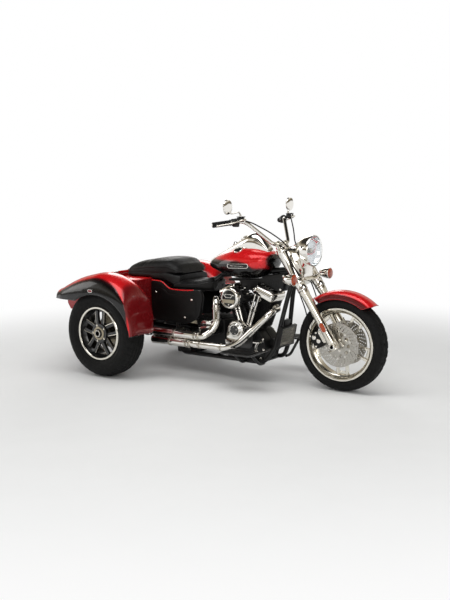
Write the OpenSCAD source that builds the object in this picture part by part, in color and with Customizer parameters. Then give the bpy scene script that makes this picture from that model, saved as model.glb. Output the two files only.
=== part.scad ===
// Motorized trike: a V-twin cruiser front with two rear wheels under wide fenders.
// +X points forward, +Y to the rider's left and +Z up. The floor is z = 0.

/* [Overall] */
// Distance from the front axle to the rear axle
wheelbase = 1670; // [1500:10:1900]
// How far the plate bracket reaches behind the rear axle
rear_overhang = 681; // [660:1:760]
// Width over the rear fenders
overall_width = 1410; // [1370:10:1500]
// Distance between the middles of the rear tyres
rear_track = 1080; // [1060:10:1120]

/* [Wheels] */
// Outer radius of the front tyre
front_tyre_r = 319; // [300:1:330]
// Width of the front tyre
front_tyre_w = 130; // [110:1:140]
// Radius of the front rim where the tyre sits
front_rim_r = 241; // [225:1:250]
// Outer radius of the rear tyres
rear_tyre_r = 324; // [300:1:335]
// Width of the rear tyres
rear_tyre_w = 205; // [180:1:215]
// Radius of the rear rims where the tyre sits
rear_rim_r = 190; // [180:1:205]
// Radius of the front axle
front_axle_r = 12.5; // [10:0.5:15]
// Radius of the rear stub axles
rear_axle_r = 20; // [16:1:25]
// Radius of the front brake discs
disc_r = 150; // [130:1:160]
// Thickness of the brake discs
disc_t = 5; // [4:0.5:7]

/* [Fork] */
// Angle of the fork from upright
rake = 33.5; // [30:0.5:35]
// How far the fork legs stand ahead of the steering axis
fork_offset = 50; // [45:1:60]
// Distance of each fork leg from the middle
leg_y = 118; // [112:1:130]
// Radius of the fork tubes
tube_r = 24.5; // [20:0.5:26]
// Radius of the fork sliders
slider_r = 32; // [29:1:34]
// Radius of the steering stem
stem_r = 14; // [12:1:18]
// Length of the frame's steering head
head_length = 205; // [180:5:220]

/* [Handlebar] */
// Radius of the handlebar tube
bar_r = 12.7; // [11:0.1:16]
// Half the distance over the grip ends
grip_end_y = 420; // [400:5:460]
// Radius of the grips
grip_r = 19; // [16:1:21]

/* [Body] */
// Half width of the luggage box between the fenders
body_half = 400; // [380:5:405]
// Wall thickness of the luggage box
body_wall = 10; // [6:1:14]
// Wall thickness of the fenders
fender_wall = 5; // [4:1:8]
// Height of the fender crowns
fender_top = 768; // [750:1:790]
// Half the length of the opening over each rear wheel
arch_half = 314; // [300:1:325]
// Height of that opening above the fender's front edge
arch_rise = 281; // [260:1:300]
// Radial space between the front tyre and its fender
front_fender_gap = 40; // [30:1:50]
// Thickness of the boot lid
lid_t = 22; // [16:1:28]

/* [Frame] */
// Radius of the main frame tubes
frame_r = 16; // [13:1:19]
// Distance of the lower rails from the middle
rail_y = 130; // [126:1:140]
// Height of the lower rails
rail_z = 134; // [125:1:150]

/* [Engine] */
// Angle of each cylinder from upright
cylinder_lean = 22.5; // [21:0.5:26]
// Radius of the cooling fins
fin_r = 72; // [66:1:74]
// Number of fins on each barrel
fin_count = 11; // [8:1:12]
// Half width of the crankcase
case_half = 98; // [90:1:104]

/* [Number plate] */
// Distance between the two plate bolts
plate_bolt_span = 146; // [120:1:180]
// Radius of each plate bolt hole
plate_hole_r = 3.3; // [2.5:0.1:4.5]

/* [Hidden] */
$fn = 48;
// space between pieces that rest on each other, and of a shaft in its bearing
seat = 0.3;
fit = 0.05;
// least space between pieces that move past each other
clear = 6;

// wheel places, with the middle of the whole length at x = 0
rear_x = -(wheelbase + front_tyre_r - rear_overhang) / 2;
rear_z = rear_tyre_r;
front_x = rear_x + wheelbase;
front_z = front_tyre_r;
wheel_y = rear_track / 2;
// the body and engine hang on the rear axle's place, the fork on the front axle's
mid_x = rear_x + 654;
body_z = rear_z - 324;

// fork heights, measured along the leg from the axle
lower_clamp_w = 500;
upper_clamp_w = lower_clamp_w + 30 + head_length + 10;
clamp_t = 24;
fork_top_w = upper_clamp_w + 34;
slider_top_w = 428;
cover_r = slider_r + 5;

// engine: crank centre, and heights along each cylinder from it
crank = [mid_x + 298, 262];
deck_s = 130;
head_s = 300;
rocker_s = 372;
rocker_top_s = 440;
head_half = 75;

// luggage box and fender
body_front_x = mid_x - 480;
body_back_x = mid_x - 1191;
lid_front_x = mid_x - 802;
lid_back_x = mid_x - 1168;
boot_floor_z = body_z + 440;
deck_z = body_z + 704;
outer_y = overall_width / 2;
inner_y = body_half + seat;
// height of the rim flange that holds the tyre's bead
flange = 10;

// ---- shared shapes ----

// straight bar between two points
module rod(a, b, r) {
    d = b - a;
    translate(a)
        rotate([0, acos(d.z / norm(d)), atan2(d.y, d.x)])
            cylinder(h = norm(d), r = r);
}

// bent tube through a list of points, with a round weld at each bend
module bent_tube(points, r) {
    for (i = [0:len(points) - 2]) rod(points[i], points[i + 1], r);
    for (i = [1:len(points) - 2]) translate(points[i]) sphere(r = r + 0.4);
}

// a copy on the right and one on the left
module both_sides() {
    children();
    mirror([0, 1, 0]) children();
}

// round bar along Y, from y0 to y1
module bar_y(x, z, r, y0, y1) {
    translate([x, y0, z]) rotate([-90, 0, 0]) cylinder(h = y1 - y0, r = r);
}

// flat outline in X and Z, as thick as y0 to y1
module slab_y(outline, y0, y1) {
    translate([0, y1, 0]) rotate([90, 0, 0]) linear_extrude(y1 - y0) polygon(outline);
}

// solid through rings of points, each ring lying further forward than the last
module loft(rings) {
    n = len(rings[0]);
    m = len(rings);
    back = [for (j = [0:n - 1]) j];
    front = [for (j = [n - 1:-1:0]) (m - 1) * n + j];
    sides = [for (i = [0:m - 2]) for (j = [0:n - 1])
        [i * n + j, (i + 1) * n + j, (i + 1) * n + (j + 1) % n, i * n + (j + 1) % n]];
    polyhedron([for (ring = rings) each ring], concat([back], sides, [front]), 8);
}

function power(v, p) = sign(v) * pow(abs(v), p);

// rounded cross-section at x: its middle y, half width, top, widest height and bottom;
// up and down give how square its upper and lower halves are
function section(x, y, half, top, mid, bottom, up = 2.4, down = 2.4, n = 28) =
    [for (i = [0:n - 1]) let (a = 360 * (i + 0.5) / n, p = a < 180 ? up : down,
        h = a < 180 ? top - mid : mid - bottom)
        [x, y + half * power(cos(a), 2 / p), mid + h * power(sin(a), 2 / p)]];

// places the fork's own axes: Z runs up the leg from the axle, X ahead of it
module on_fork() {
    translate([front_x, 0, front_z]) rotate([0, -rake, 0]) children();
}
function fork_point(u, y, w) = [front_x + u * cos(rake) - w * sin(rake), y,
    front_z + u * sin(rake) + w * cos(rake)];

// ---- wheels ----

// tyre around the Y axis: outer radius, width and the rim radius it sits on
module tyre(outer_r, w, rim_r) {
    h = outer_r - rim_r;
    bead = w * 0.36;
    crown = [for (a = [0:12:180])
        [rim_r + h * 0.45 + h * 0.55 * power(sin(a), 0.75), w / 2 * power(cos(a), 0.8)]];
    rotate([90, 0, 0])
        rotate_extrude($fn = 96)
            polygon(concat([[rim_r, bead], [rim_r + flange, bead], [rim_r + h * 0.3, w * 0.46]], crown,
                [[rim_r + h * 0.3, -w * 0.46], [rim_r + flange, -bead], [rim_r, -bead]]));
}

// rim barrel with a lip on each side, around the Y axis
module rim_barrel(rim_r, w, lip, wall) {
    half = w * 0.36;
    rotate([90, 0, 0])
        rotate_extrude($fn = 96)
            polygon([[rim_r - 22, -half * 0.6], [rim_r - lip, -half], [rim_r - lip, -half - 8],
                [rim_r + flange - 1, -half - 8], [rim_r + flange - 1, -half - seat], [rim_r - seat, -half - seat],
                [rim_r - seat, half + seat], [rim_r + flange - 1, half + seat],
                [rim_r + flange - 1, half + 8], [rim_r - lip, half + 8], [rim_r - lip, half],
                [rim_r - 22, half * 0.6], [rim_r - 22 - wall, half * 0.5],
                [rim_r - 22 - wall, -half * 0.5]]);
}

module spokes(count, y, hub_r, rim_r, w, t, split) {
    for (i = [0:count - 1])
        rotate([0, i * 360 / count, 0])
            for (s = [-1, 1])
                translate([s * split, 0, 0])
                    rotate([0, s * 5, 0])
                        translate([-w / 2, y - t / 2, hub_r * 0.6])
                            cube([w, t, rim_r - hub_r * 0.6]);
}

module front_rim() color("silver")
    translate([front_x, 0, front_z])
        difference() {
            union() {
                rim_barrel(front_rim_r, front_tyre_w, 8, 6);
                spokes(5, 0, 50, front_rim_r - 26, 20, 26, 20);
                bar_y(0, 0, 64, -60, 60);
            }
            bar_y(0, 0, front_axle_r + fit, -70, 70);
        }

module front_tyre() color("#1a1a1a")
    translate([front_x, 0, front_z]) tyre(front_tyre_r, front_tyre_w, front_rim_r);

module front_discs() color("lightgray")
    translate([front_x, 0, front_z])
        both_sides()
            difference() {
                bar_y(0, 0, disc_r, 60 + seat, 60 + seat + disc_t);
                bar_y(0, 0, front_axle_r + fit + 8, 0, 80);
                for (i = [0:9])
                    rotate([0, i * 36, 0]) bar_y(disc_r * 0.52, 0, 16, 50, 80);
            }

// rear wheel for the right side: the dish faces outward, the brake disc inward
rear_disc_r = 128;
rear_disc_in = 60;
module rear_rim() {
    translate([rear_x, -wheel_y, rear_z])
        difference() {
            union() {
                rim_barrel(rear_rim_r, rear_tyre_w, 8, 8);
                spokes(5, -44, 50, rear_rim_r - 28, 30, 24, 20);
                bar_y(0, 0, 74, -75, rear_disc_in + disc_t);
                bar_y(0, 0, rear_disc_r, rear_disc_in, rear_disc_in + disc_t);
            }
            bar_y(0, 0, rear_axle_r + fit, -80, 80);
        }
}

module rear_tyre() translate([rear_x, -wheel_y, rear_z])
    tyre(rear_tyre_r, rear_tyre_w, rear_rim_r);

module rear_rim_right() color("#303030") rear_rim();
module rear_rim_left() color("#303030") mirror([0, 1, 0]) rear_rim();
module rear_tyre_right() color("#1a1a1a") rear_tyre();
module rear_tyre_left() color("#1a1a1a") mirror([0, 1, 0]) rear_tyre();

// ---- fork and steering ----

module fork_clamp(w, reach) {
    difference() {
        union() {
            translate([-fork_offset, 0, w]) cylinder(h = clamp_t, r = 34);
            translate([-fork_offset, -leg_y, w]) cube([fork_offset, 2 * leg_y, clamp_t]);
            for (s = [-1, 1])
                translate([0, s * leg_y, w]) cylinder(h = clamp_t, r = tube_r + reach);
        }
        for (s = [-1, 1])
            translate([0, s * leg_y, w - 1]) cylinder(h = clamp_t + 2, r = tube_r + fit);
    }
}

module fork_clamps() color("silver") on_fork() {
    fork_clamp(lower_clamp_w - clamp_t / 2, 12);
    fork_clamp(upper_clamp_w - clamp_t / 2, 12);
    translate([-fork_offset, 0, lower_clamp_w])
        cylinder(h = upper_clamp_w - lower_clamp_w, r = stem_r);
}

module fork_tubes() color("silver") on_fork()
    both_sides() translate([0, leg_y, 0]) {
        translate([0, 0, 230]) cylinder(h = fork_top_w - 230, r = tube_r);
        // chrome sleeves over the tube, below and above the lower clamp
        translate([0, 0, slider_top_w + seat])
            cylinder(h = lower_clamp_w - clamp_t / 2 - slider_top_w - 2 * seat, r = cover_r);
        translate([0, 0, lower_clamp_w + clamp_t / 2 + seat])
            cylinder(h = upper_clamp_w - lower_clamp_w - clamp_t - 2 * seat, r = cover_r);
    }

module fork_sliders() color("silver") on_fork()
    both_sides() translate([0, leg_y, 0])
        difference() {
            union() {
                translate([0, 0, -26]) cylinder(h = slider_top_w + 26, r = slider_r);
                bar_y(0, 0, 22, -slider_r - 3, slider_r + 3);
                // lug that carries the brake caliper, behind the leg
                translate([-slider_r - 34, -30, 56]) cube([40, 22, 90]);
            }
            translate([0, 0, 225]) cylinder(h = slider_top_w, r = tube_r + fit);
            bar_y(0, 0, front_axle_r + fit, -60, 60);
        }

module front_axle() color("silver") translate([front_x, 0, front_z])
    bar_y(0, 0, front_axle_r, -leg_y - slider_r - 6, leg_y + slider_r + 6);

module front_calipers() color("#202020") on_fork()
    both_sides() {
        difference() {
            union() {
                translate([-slider_r - 34 - seat - 78, 42, 45]) cube([78, 58, 110]);
            }
            // slot for the disc to run in
            rotate([0, rake, 0]) bar_y(0, 0, disc_r + clear, 60 - clear, 60 + disc_t + clear);
        }
    }

// nacelle between the legs, ahead of the steering head, that carries the headlamp
nacelle_half = leg_y - slider_r - 5 - 1;
module headlamp_nacelle() color("silver") {
    w0 = lower_clamp_w + clamp_t / 2 + seat;
    w1 = upper_clamp_w - clamp_t / 2 - seat;
    back_u = -fork_offset + 34 + clear;
    front = [[30, w0], [52, w0 + 60], [84, w0 + 120], [92, w0 + 170], [84, w1]];
    difference() {
        on_fork() translate([0, nacelle_half, 0]) rotate([90, 0, 0])
            linear_extrude(2 * nacelle_half)
                polygon(concat([[back_u, w0]], front, [[back_u, w1]]));
        // seat for the headlamp shell
        headlamp_shape(seat);
    }
}

headlamp_x = front_x - 207;
headlamp_z = front_z + 617;
headlamp_r = 107;
module headlamp_shape(grow) {
    translate([headlamp_x - 130, 0, headlamp_z]) rotate([0, 90, 0]) rotate_extrude($fn = 64)
        polygon([[0, -grow], [60 + grow, -grow], [92 + grow, 40], [104 + grow, 90],
            [headlamp_r + grow, 104], [headlamp_r + grow, 120], [96, 126], [60, 130], [0, 132]]);
}
module headlamp() color("white") headlamp_shape(0);

// handlebar points on the left, from the middle of the top clamp to the grip's end
bar_points = [fork_point(-fork_offset + 10, 0, upper_clamp_w + 70),
    fork_point(-fork_offset + 10, 96, upper_clamp_w + 70),
    fork_point(-58, 240, 1008), fork_point(-75, 280, 1036),
    fork_point(-190, grip_end_y, 1086)];
module handlebar() color("silver") {
    both_sides() {
        bent_tube(bar_points, bar_r);
        rod(fork_point(-fork_offset + 10, 48, upper_clamp_w + clamp_t / 2 + seat),
            fork_point(-fork_offset + 10, 48, upper_clamp_w + 70), 16);
    }
}

// a point part of the way along the straight end of the bar
function along_grip(t) = bar_points[3] + t * (bar_points[4] - bar_points[3]);

module grips() color("#1a1a1a") both_sides() difference() {
    rod(along_grip(0.36), along_grip(1.04), grip_r);
    rod(along_grip(0.2), along_grip(1), bar_r + fit);
}

module hand_controls() color("#222222") both_sides() difference() {
    union() {
        rod(along_grip(0.05), along_grip(0.33), 24);
        // switch box below and master cylinder ahead
        translate(along_grip(0.16) + [-20, -16, -34]) cube([40, 32, 30]);
        translate(along_grip(0.1) + [20, 0, -2]) cube([44, 38, 40]);
    }
    rod(bar_points[3], bar_points[4], bar_r + fit);
}

// lever blade, from its pivot ahead of the control out along the grip
lever_points = [along_grip(0.1) + [64 + seat + 6, 10, 14], along_grip(0.1) + [64 + seat + 6, 48, 14],
    along_grip(0.55) + [70, 0, 4], along_grip(1) + [46, 14, -4]];
module hand_levers() color("silver") both_sides()
    for (i = [0:2]) hull() {
        translate(lever_points[i]) sphere(r = 6, $fn = 16);
        translate(lever_points[i + 1]) sphere(r = 6, $fn = 16);
    }

mirror_at = [front_x - 652, 395, front_z + 921];
module mirrors() color("silver") both_sides() {
    bent_tube([along_grip(0.1) + [32, 12, 40.3 + seat], along_grip(0.1) + [30, 24, 62],
        mirror_at + [0, -24, -36]], 5);
    translate(mirror_at + [-8, 0, 0]) rotate([0, 90, 0]) cylinder(h = 16, r = 50);
}

signal_at = [front_x - 246, 245, front_z + 441];
module front_turn_signals() color("silver") both_sides() {
    translate(signal_at + [-50, 0, 0]) rotate([0, 90, 0]) rotate_extrude()
        polygon([[0, -20], [22, -12], [36, 30], [38, 62], [30, 70], [0, 72]]);
    rod(signal_at + [-30, 0, 0], fork_point(4, leg_y + cover_r + seat, 520), 9);
}

// fender over the front wheel, fixed to the inner side of the sliders
front_fender_r = front_tyre_r + front_fender_gap + fender_wall;
front_fender_half = leg_y - slider_r - 8;
function fender_arc(r, half) = [for (a = [0:15:180])
    [front_tyre_r - 10 + (r - front_tyre_r + 10) * power(sin(a), 0.8), half * power(cos(a), 0.7)]];
module front_fender() color("#d41820") {
    translate([front_x, 0, front_z]) rotate([90, 0, 0])
        rotate([0, 0, 49]) rotate_extrude(angle = 74, $fn = 96)
            polygon(concat(fender_arc(front_fender_r, front_fender_half),
                [for (i = [12:-1:0]) fender_arc(front_fender_r - fender_wall,
                    front_fender_half - fender_wall)[i]]));
    on_fork() both_sides()
        translate([-14, front_fender_half - fender_wall / 2, front_tyre_r + 6])
            cube([28, leg_y - slider_r - front_fender_half + fender_wall / 2 - seat, 24]);
}

// ---- frame ----

neck_low = fork_point(-fork_offset, 0, lower_clamp_w + clamp_t / 2 + 4);
neck_high = fork_point(-fork_offset, 0, upper_clamp_w - clamp_t / 2 - 4);
neck_mid = (neck_low + neck_high) / 2;
// front tube on the left: where it leaves the steering head's slope, and its foot
down_high = fork_point(-fork_offset - 100, 26, lower_clamp_w);
down_low = [mid_x + 530, 90, 240];
down_tilt = atan((down_high.x - down_low.x) / (down_high.z - down_low.z));
backbone_end = [mid_x + 30, 0, body_z + 738];
seat_rail_z = body_z + 600;
pivot = [mid_x - 215, body_z + 300];
module frame() color("#202020") difference() {
    union() {
        rod(neck_low, neck_high, 32);
        rod(neck_mid + [0, 0, -10], backbone_end, 22);
        translate(backbone_end) sphere(r = 25);
        both_sides() {
            // front tubes, lower rails and rear uprights
            bent_tube([fork_point(-fork_offset - 16, 14, lower_clamp_w + 60), down_high, down_low,
                [mid_x + 470, rail_y, rail_z + frame_r],
                [mid_x - 260, rail_y, rail_z + frame_r], [mid_x - 300, rail_y, rail_z + 120],
                [mid_x - 300, 120, seat_rail_z]], frame_r);
            // seat rails, and the stays from the backbone down to them
            bent_tube([backbone_end, [mid_x - 110, 120, seat_rail_z],
                [body_front_x + seat, 120, seat_rail_z]], frame_r);
            // plates that carry the rear fork's pivot
            translate([mid_x - 300, rail_y, rail_z + frame_r])
                cube([120, 10, pivot[1] - rail_z + 30]);
        }
        // cross members under the engine and the seat
        for (x = [mid_x + 400, mid_x + 0])
            translate([x, -rail_y, rail_z + 4]) cube([40, 2 * rail_y, 12]);
        bar_y(mid_x - 300, seat_rail_z, 14, -120, 120);
    }
    rod(fork_point(-fork_offset, 0, lower_clamp_w), fork_point(-fork_offset, 0, upper_clamp_w), stem_r + fit);
}

// ---- engine ----

module on_cylinder(side) {
    translate([crank.x, 0, crank.y]) rotate([0, side * cylinder_lean, 0]) children();
}

module crankcase() color("#2a2a2a") {
    x = crank.x;
    base = rail_z + frame_r + seat;
    t = [sin(cylinder_lean), cos(cylinder_lean)];
    front_corner = [x + deck_s * t[0] + 55 * t[1], crank.y + deck_s * t[1] - 55 * t[0]];
    slab_y([[mid_x + 120, base + 20], [mid_x + 140, base], [x + 142, base], [x + 162, 220],
        [x + 152, 300], front_corner, [x, crank.y + deck_s / t[1]],
        [2 * x - front_corner[0], front_corner[1]], [mid_x + 120, 320]], -case_half, case_half);
}

// barrel with cooling fins, then the square head
module cylinder_and_head(side) on_cylinder(side) {
    first = 192;
    pitch = (head_s - first) / fin_count;
    comb = [for (i = [0:fin_count - 1]) each [[56, first + i * pitch], [fin_r, first + i * pitch],
        [fin_r, first + i * pitch + pitch * 0.45], [56, first + i * pitch + pitch * 0.45]]];
    rotate_extrude($fn = 64)
        polygon(concat([[0, deck_s + seat], [52, deck_s + seat], [52, 160]], comb,
            [[56, head_s + 1], [0, head_s + 1]]));
    for (i = [0:4])
        translate([-head_half, -head_half, head_s + 4 + i * 14])
            cube([2 * head_half, 2 * head_half, 7]);
    translate([-head_half + 10, -head_half + 10, head_s])
        cube([2 * head_half - 20, 2 * head_half - 20, rocker_s - head_s - seat]);
}
module cylinders() color("#1c1c1c") for (side = [-1, 1]) cylinder_and_head(side);

module rocker_covers() color("silver") for (side = [-1, 1]) on_cylinder(side)
    slab_y([[-82, rocker_s], [82, rocker_s], [82, rocker_top_s - 26], [50, rocker_top_s],
        [-50, rocker_top_s], [-82, rocker_top_s - 26]], -head_half - 45, head_half);

module pushrod_tubes() color("silver") for (side = [-1, 1]) for (k = [0, 1]) {
    t = -side * (60 - 34 * k);
    s = rocker_s - 1.3;
    top = [crank.x + side * sin(cylinder_lean) * s + t * cos(cylinder_lean), -head_half - 30,
        crank.y + cos(cylinder_lean) * s - side * t * sin(cylinder_lean)];
    x = crank.x + side * (16 + 26 * k);
    bent_tube([[x, -head_half - 34, cam_chest_z + seat], [x, -head_half - 34, cam_chest_z + 12], top], 9);
}

cam_chest_z = crank.y + 134;
module cam_cover() color("silver") {
    translate([crank.x - 95, -150, 240]) cube([180, 150 - case_half - seat, cam_chest_z - 240]);
    bar_y(crank.x - 18, crank.y + 113, 66, -224, -149);
    bar_y(crank.x - 18, crank.y + 113, 34, -230, -223);
}

module primary_cover() color("silver") {
    a = [mid_x + 298, body_z + 262];
    b = [mid_x + 0, body_z + 300];
    for (p = [[a, 90], [b, 84]]) bar_y(p[0].x, p[0].y, p[1], case_half + 14, case_half + 105);
    slab_y([[a.x, a.y - 90], [a.x, a.y + 90], [b.x, b.y + 84], [b.x, b.y - 84]],
        case_half + 14, case_half + 105);
    translate([a.x - 90, case_half + seat, a.y - 60]) cube([150, 14, 120]);
}

front_pulley = [mid_x - 60, body_z + 300];
front_pulley_r = 36;
rear_pulley_r = 88;
belt_y = [24, 48];
module gearbox() color("#2a2a2a") {
    translate([mid_x - 130, -case_half - 12, 210]) cube([250 - seat, case_half + 28, 210]);
    // output shaft and belt pulley
    bar_y(front_pulley.x, front_pulley.y, 14, 0, belt_y[0]);
    bar_y(front_pulley.x, front_pulley.y, front_pulley_r, belt_y[0], belt_y[1]);
    bar_y(mid_x + 37, body_z + 362, 50, -232, -case_half);
    translate([mid_x - 12, -225, body_z + 322]) cube([98, 120, 62]);
}

module air_cleaner() color("#202020") {
    c = [mid_x + 272, body_z + 607];
    bar_y(c.x, c.y, 76, -272, -196);
    bar_y(c.x, c.y, 60, -280, -271);
    // intake pipe that reaches in between the cylinders
    s = 318;
    meet = crank.y + s * cos(cylinder_lean) + head_half * sin(cylinder_lean)
        + (s * sin(cylinder_lean) - head_half * cos(cylinder_lean)) * tan(cylinder_lean);
    bent_tube([[c.x, -200, c.y - 4], [crank.x, -120, meet], [crank.x, 0, meet]], 24);
    for (side = [-1, 1]) on_cylinder(side)
        rod([-side * (head_half + seat), 0, s], [-side * (head_half + 44), 0, s], 19);
}

// ---- exhaust ----

// middle of a head's outer side, at a distance from it
function port(side, out) = let (s = 325, t = head_half + out)
    [crank.x + side * (s * sin(cylinder_lean) + t * cos(cylinder_lean)), -30,
        crank.y + s * cos(cylinder_lean) - t * sin(cylinder_lean)];
module exhaust_headers() color("silver") {
    bent_tube([port(-1, seat), port(-1, 40), [mid_x + 78, -160, 558], [mid_x + 118, -215, 590],
        [mid_x + 148, -252, 548], [mid_x + 160, -268, 420], [mid_x + 136, -300, 366],
        [mid_x + 100, muffler_y, muffler_z[0]], [mid_x + 60 + seat, muffler_y, muffler_z[0]]], 24);
    bent_tube([port(1, seat), port(1, 40), [mid_x + 546, -130, 520], [mid_x + 530, -180, 490],
        [mid_x + 440, -222, 392], [mid_x + 345, -248, 296], [mid_x + 260, -280, 256],
        [mid_x + 20, muffler_y, muffler_z[1]], [mid_x - 20 + seat, muffler_y, muffler_z[1]]], 22);
}

muffler_y = -350;
muffler_z = [body_z + 332, body_z + 272];
module mufflers() color("silver") {
    rod([mid_x + 60, muffler_y, muffler_z[0]], [mid_x - 352, muffler_y, muffler_z[0]], 28);
    rod([mid_x - 20, muffler_y, muffler_z[1]], [mid_x - 361, muffler_y, muffler_z[1]], 27);
    // hanger to the frame plate
    translate([mid_x - 240, muffler_y, muffler_z[0] - 5])
        cube([30, -muffler_y - rail_y - 10 - seat, 10]);
    translate([mid_x - 240, muffler_y - 3, muffler_z[1]]) cube([30, 6, 40]);
}

// ---- tank, console and seats ----

// tank stations: x, half width, top, widest height, bottom
tank_stations = [[-62, 40, 832, 812, 796], [-20, 80, 858, 812, 782], [50, 120, 893, 806, 762],
    [130, 146, 922, 806, 740], [220, 160, 942, 815, 725], [310, 162, 947, 826, 725],
    [390, 152, 938, 842, 738], [440, 132, 922, 856, 765], [475, 100, 902, 866, 800],
    [500, 62, 888, 872, 838]];
module fuel_tank() color("#c0141c") difference() {
    loft([for (s = tank_stations) section(mid_x + s[0], 0, s[1], s[2], s[3], s[4], 2.2, 2.6)]);
    // tunnel for the backbone
    slope = atan((neck_mid.z - 10 - backbone_end.z) / (neck_mid.x - backbone_end.x));
    top = 22 / cos(slope) + seat;
    slab_y([[backbone_end.x - 200, 700], [front_x, 700], [neck_mid.x, neck_mid.z - 10 + top],
        [backbone_end.x + 40, backbone_end.z + 40 * tan(slope) + top],
        [backbone_end.x + 40, backbone_end.z + 30], [backbone_end.x - 200, backbone_end.z + 30]], -26, 26);
}

console_stations = [[-62, 20, 846, 838, 828], [40, 34, 902, 886, 868], [150, 46, 962, 930, 905],
    [250, 62, 1020, 960, 925], [310, 66, 1048, 965, 930], [345, 62, 1046, 960, 932],
    [400, 52, 1000, 950, 925], [445, 36, 945, 930, 905]];
module tank_console() color("silver") difference() {
    loft([for (s = console_stations) section(mid_x + s[0], 0, s[1], s[2], s[3], s[4] - 30, 2.4, 3)]);
    loft([for (s = tank_stations) section(mid_x + s[0], 0, s[1] + seat, s[2] + seat, s[3], s[4] - 60, 2.2, 2.6)]);
}

seat_base = seat_rail_z + frame_r + seat;
module rider_seat() color("#151515") {
    s = [[-330, 190, 730], [-290, 196, 712], [-220, 192, 692], [-150, 180, 690], [-90, 156, 698],
        [-40, 124, 716], [0, 92, 742]];
    difference() {
        loft([for (p = s) section(mid_x + p[0], 0, p[1], p[2], seat_base + 34, seat_base, 3, 10)]);
        both_sides() rod(backbone_end, [mid_x - 110, 120, seat_rail_z], frame_r + 3);
        translate(backbone_end) sphere(r = 30);
    }
}

module passenger_seat() color("#151515") {
    s = [[-774, 150, 742, 720], [-740, 190, 778, 728], [-680, 212, 808, 730], [-573, 225, 830, 735],
        [-450, 225, 846, 735], [-380, 218, 846, 735], [-332, 205, 838, 735]];
    loft([for (p = s) section(mid_x + p[0], 0, p[1], p[2], p[3], deck_z + seat, 3, 4)]);
    // front face of the cushion, sloping down behind the rider
    loft([for (p = [[-333, 204, 838, 760], [-300, 196, 815, 745], [-262, 180, 785, 738],
        [-240, 160, 752, 736]]) section(mid_x + p[0], 0, p[1], p[2], p[3], 734, 3, 3)]);
}

module side_covers() color("#181818") both_sides() {
    outline = [[mid_x - 470, 690], [mid_x - 366, 686], [mid_x - 291, 632], [mid_x - 178, 628],
        [mid_x - 20, 640], [mid_x + 10, 600], [mid_x - 20, 440], [mid_x - 130, 385],
        [mid_x - 420, 385], [mid_x - 470, 430]];
    slab_y(outline, 200, 235);
    for (x = [mid_x - 300, mid_x - 150]) bar_y(x, seat_rail_z - 0, 9, 120 + frame_r + seat, 202);
}

// ---- rear body ----

// upper face of the boot lid, from its front edge back, measured from the seat deck
lid_rise = 36;
lid_line = [[0, lid_rise], [-120, 14], [-260, -28], [-350, -66], [-380, -84]];
function lid_face(drop) = [for (p = lid_line) [lid_front_x + p.x, deck_z + p.y - drop]];
lid_gap = 1.5;
hinge = [lid_front_x + 4, deck_z + lid_rise - 9];
hinge_y = [[238, 247], [293, 302]];
knuckle_y = [248, 292];
pin_r = 4;

module rear_body() color("#a01018") {
    difference() {
        slab_y(concat([[body_front_x, body_z + 400], [body_front_x, deck_z], [lid_front_x + 14, deck_z],
            [lid_front_x + 14, deck_z + lid_rise - lid_t - lid_gap]], lid_face(lid_t + lid_gap),
            [[body_back_x, body_z + 578], [body_back_x, body_z + 486],
            [body_back_x + 30, boot_floor_z], [mid_x - 600, boot_floor_z],
            [mid_x - 600, body_z + 400]]), -body_half, body_half);
        // luggage space, open upward
        slab_y([[lid_front_x - 8, deck_z + 60], [lid_front_x - 8, boot_floor_z + body_wall],
            [body_back_x + 30 + body_wall, boot_floor_z + body_wall],
            [body_back_x + body_wall, body_z + 486], [body_back_x + body_wall, body_z + 572],
            [lid_back_x, body_z + 590], [lid_back_x, deck_z + 60]],
            -body_half + body_wall, body_half - body_wall);
        // hollow under the seat deck, open downward
        slab_y([[body_front_x - body_wall, body_z + 380], [body_front_x - body_wall, deck_z - body_wall],
            [lid_front_x - 8 + body_wall, deck_z - body_wall], [lid_front_x - 8 + body_wall, boot_floor_z - 20],
            [mid_x - 600, boot_floor_z - 20], [mid_x - 600, body_z + 380]],
            -body_half + body_wall, body_half - body_wall);
        // opening in the front wall for the rear fork and the shocks
        translate([body_front_x - 20, -190, body_z + 380]) cube([40, 380, 190]);
    }
    // lid hinges: a pin in two lugs, on each side
    both_sides() {
        bar_y(hinge.x, hinge.y, pin_r, hinge_y[0][0], hinge_y[1][1]);
        for (y = hinge_y) {
            bar_y(hinge.x, hinge.y, 9, y[0], y[1]);
            translate([hinge.x - 6, y[0], hinge.y - 18.5]) cube([14, y[1] - y[0], 18.5]);
        }
    }
}

module trunk_lid() color("#c0141c") {
    difference() {
        slab_y(concat(lid_face(0), [for (i = [4:-1:0]) lid_face(lid_t)[i]]), -body_half + 4, body_half - 4);
        both_sides()
            translate([hinge.x - 20, hinge_y[0][0] - 6, hinge.y - 40])
                cube([40, hinge_y[1][1] - hinge_y[0][0] + 12, 80]);
    }
    // knuckles on the hinge pins
    both_sides() difference() {
        union() {
            bar_y(hinge.x, hinge.y, 9, knuckle_y[0], knuckle_y[1]);
            translate([hinge.x - 34, knuckle_y[0], hinge.y - 6])
                cube([34, knuckle_y[1] - knuckle_y[0], 12]);
        }
        bar_y(hinge.x, hinge.y, pin_r + fit, knuckle_y[0] - 1, knuckle_y[1] + 1);
    }
}

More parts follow.
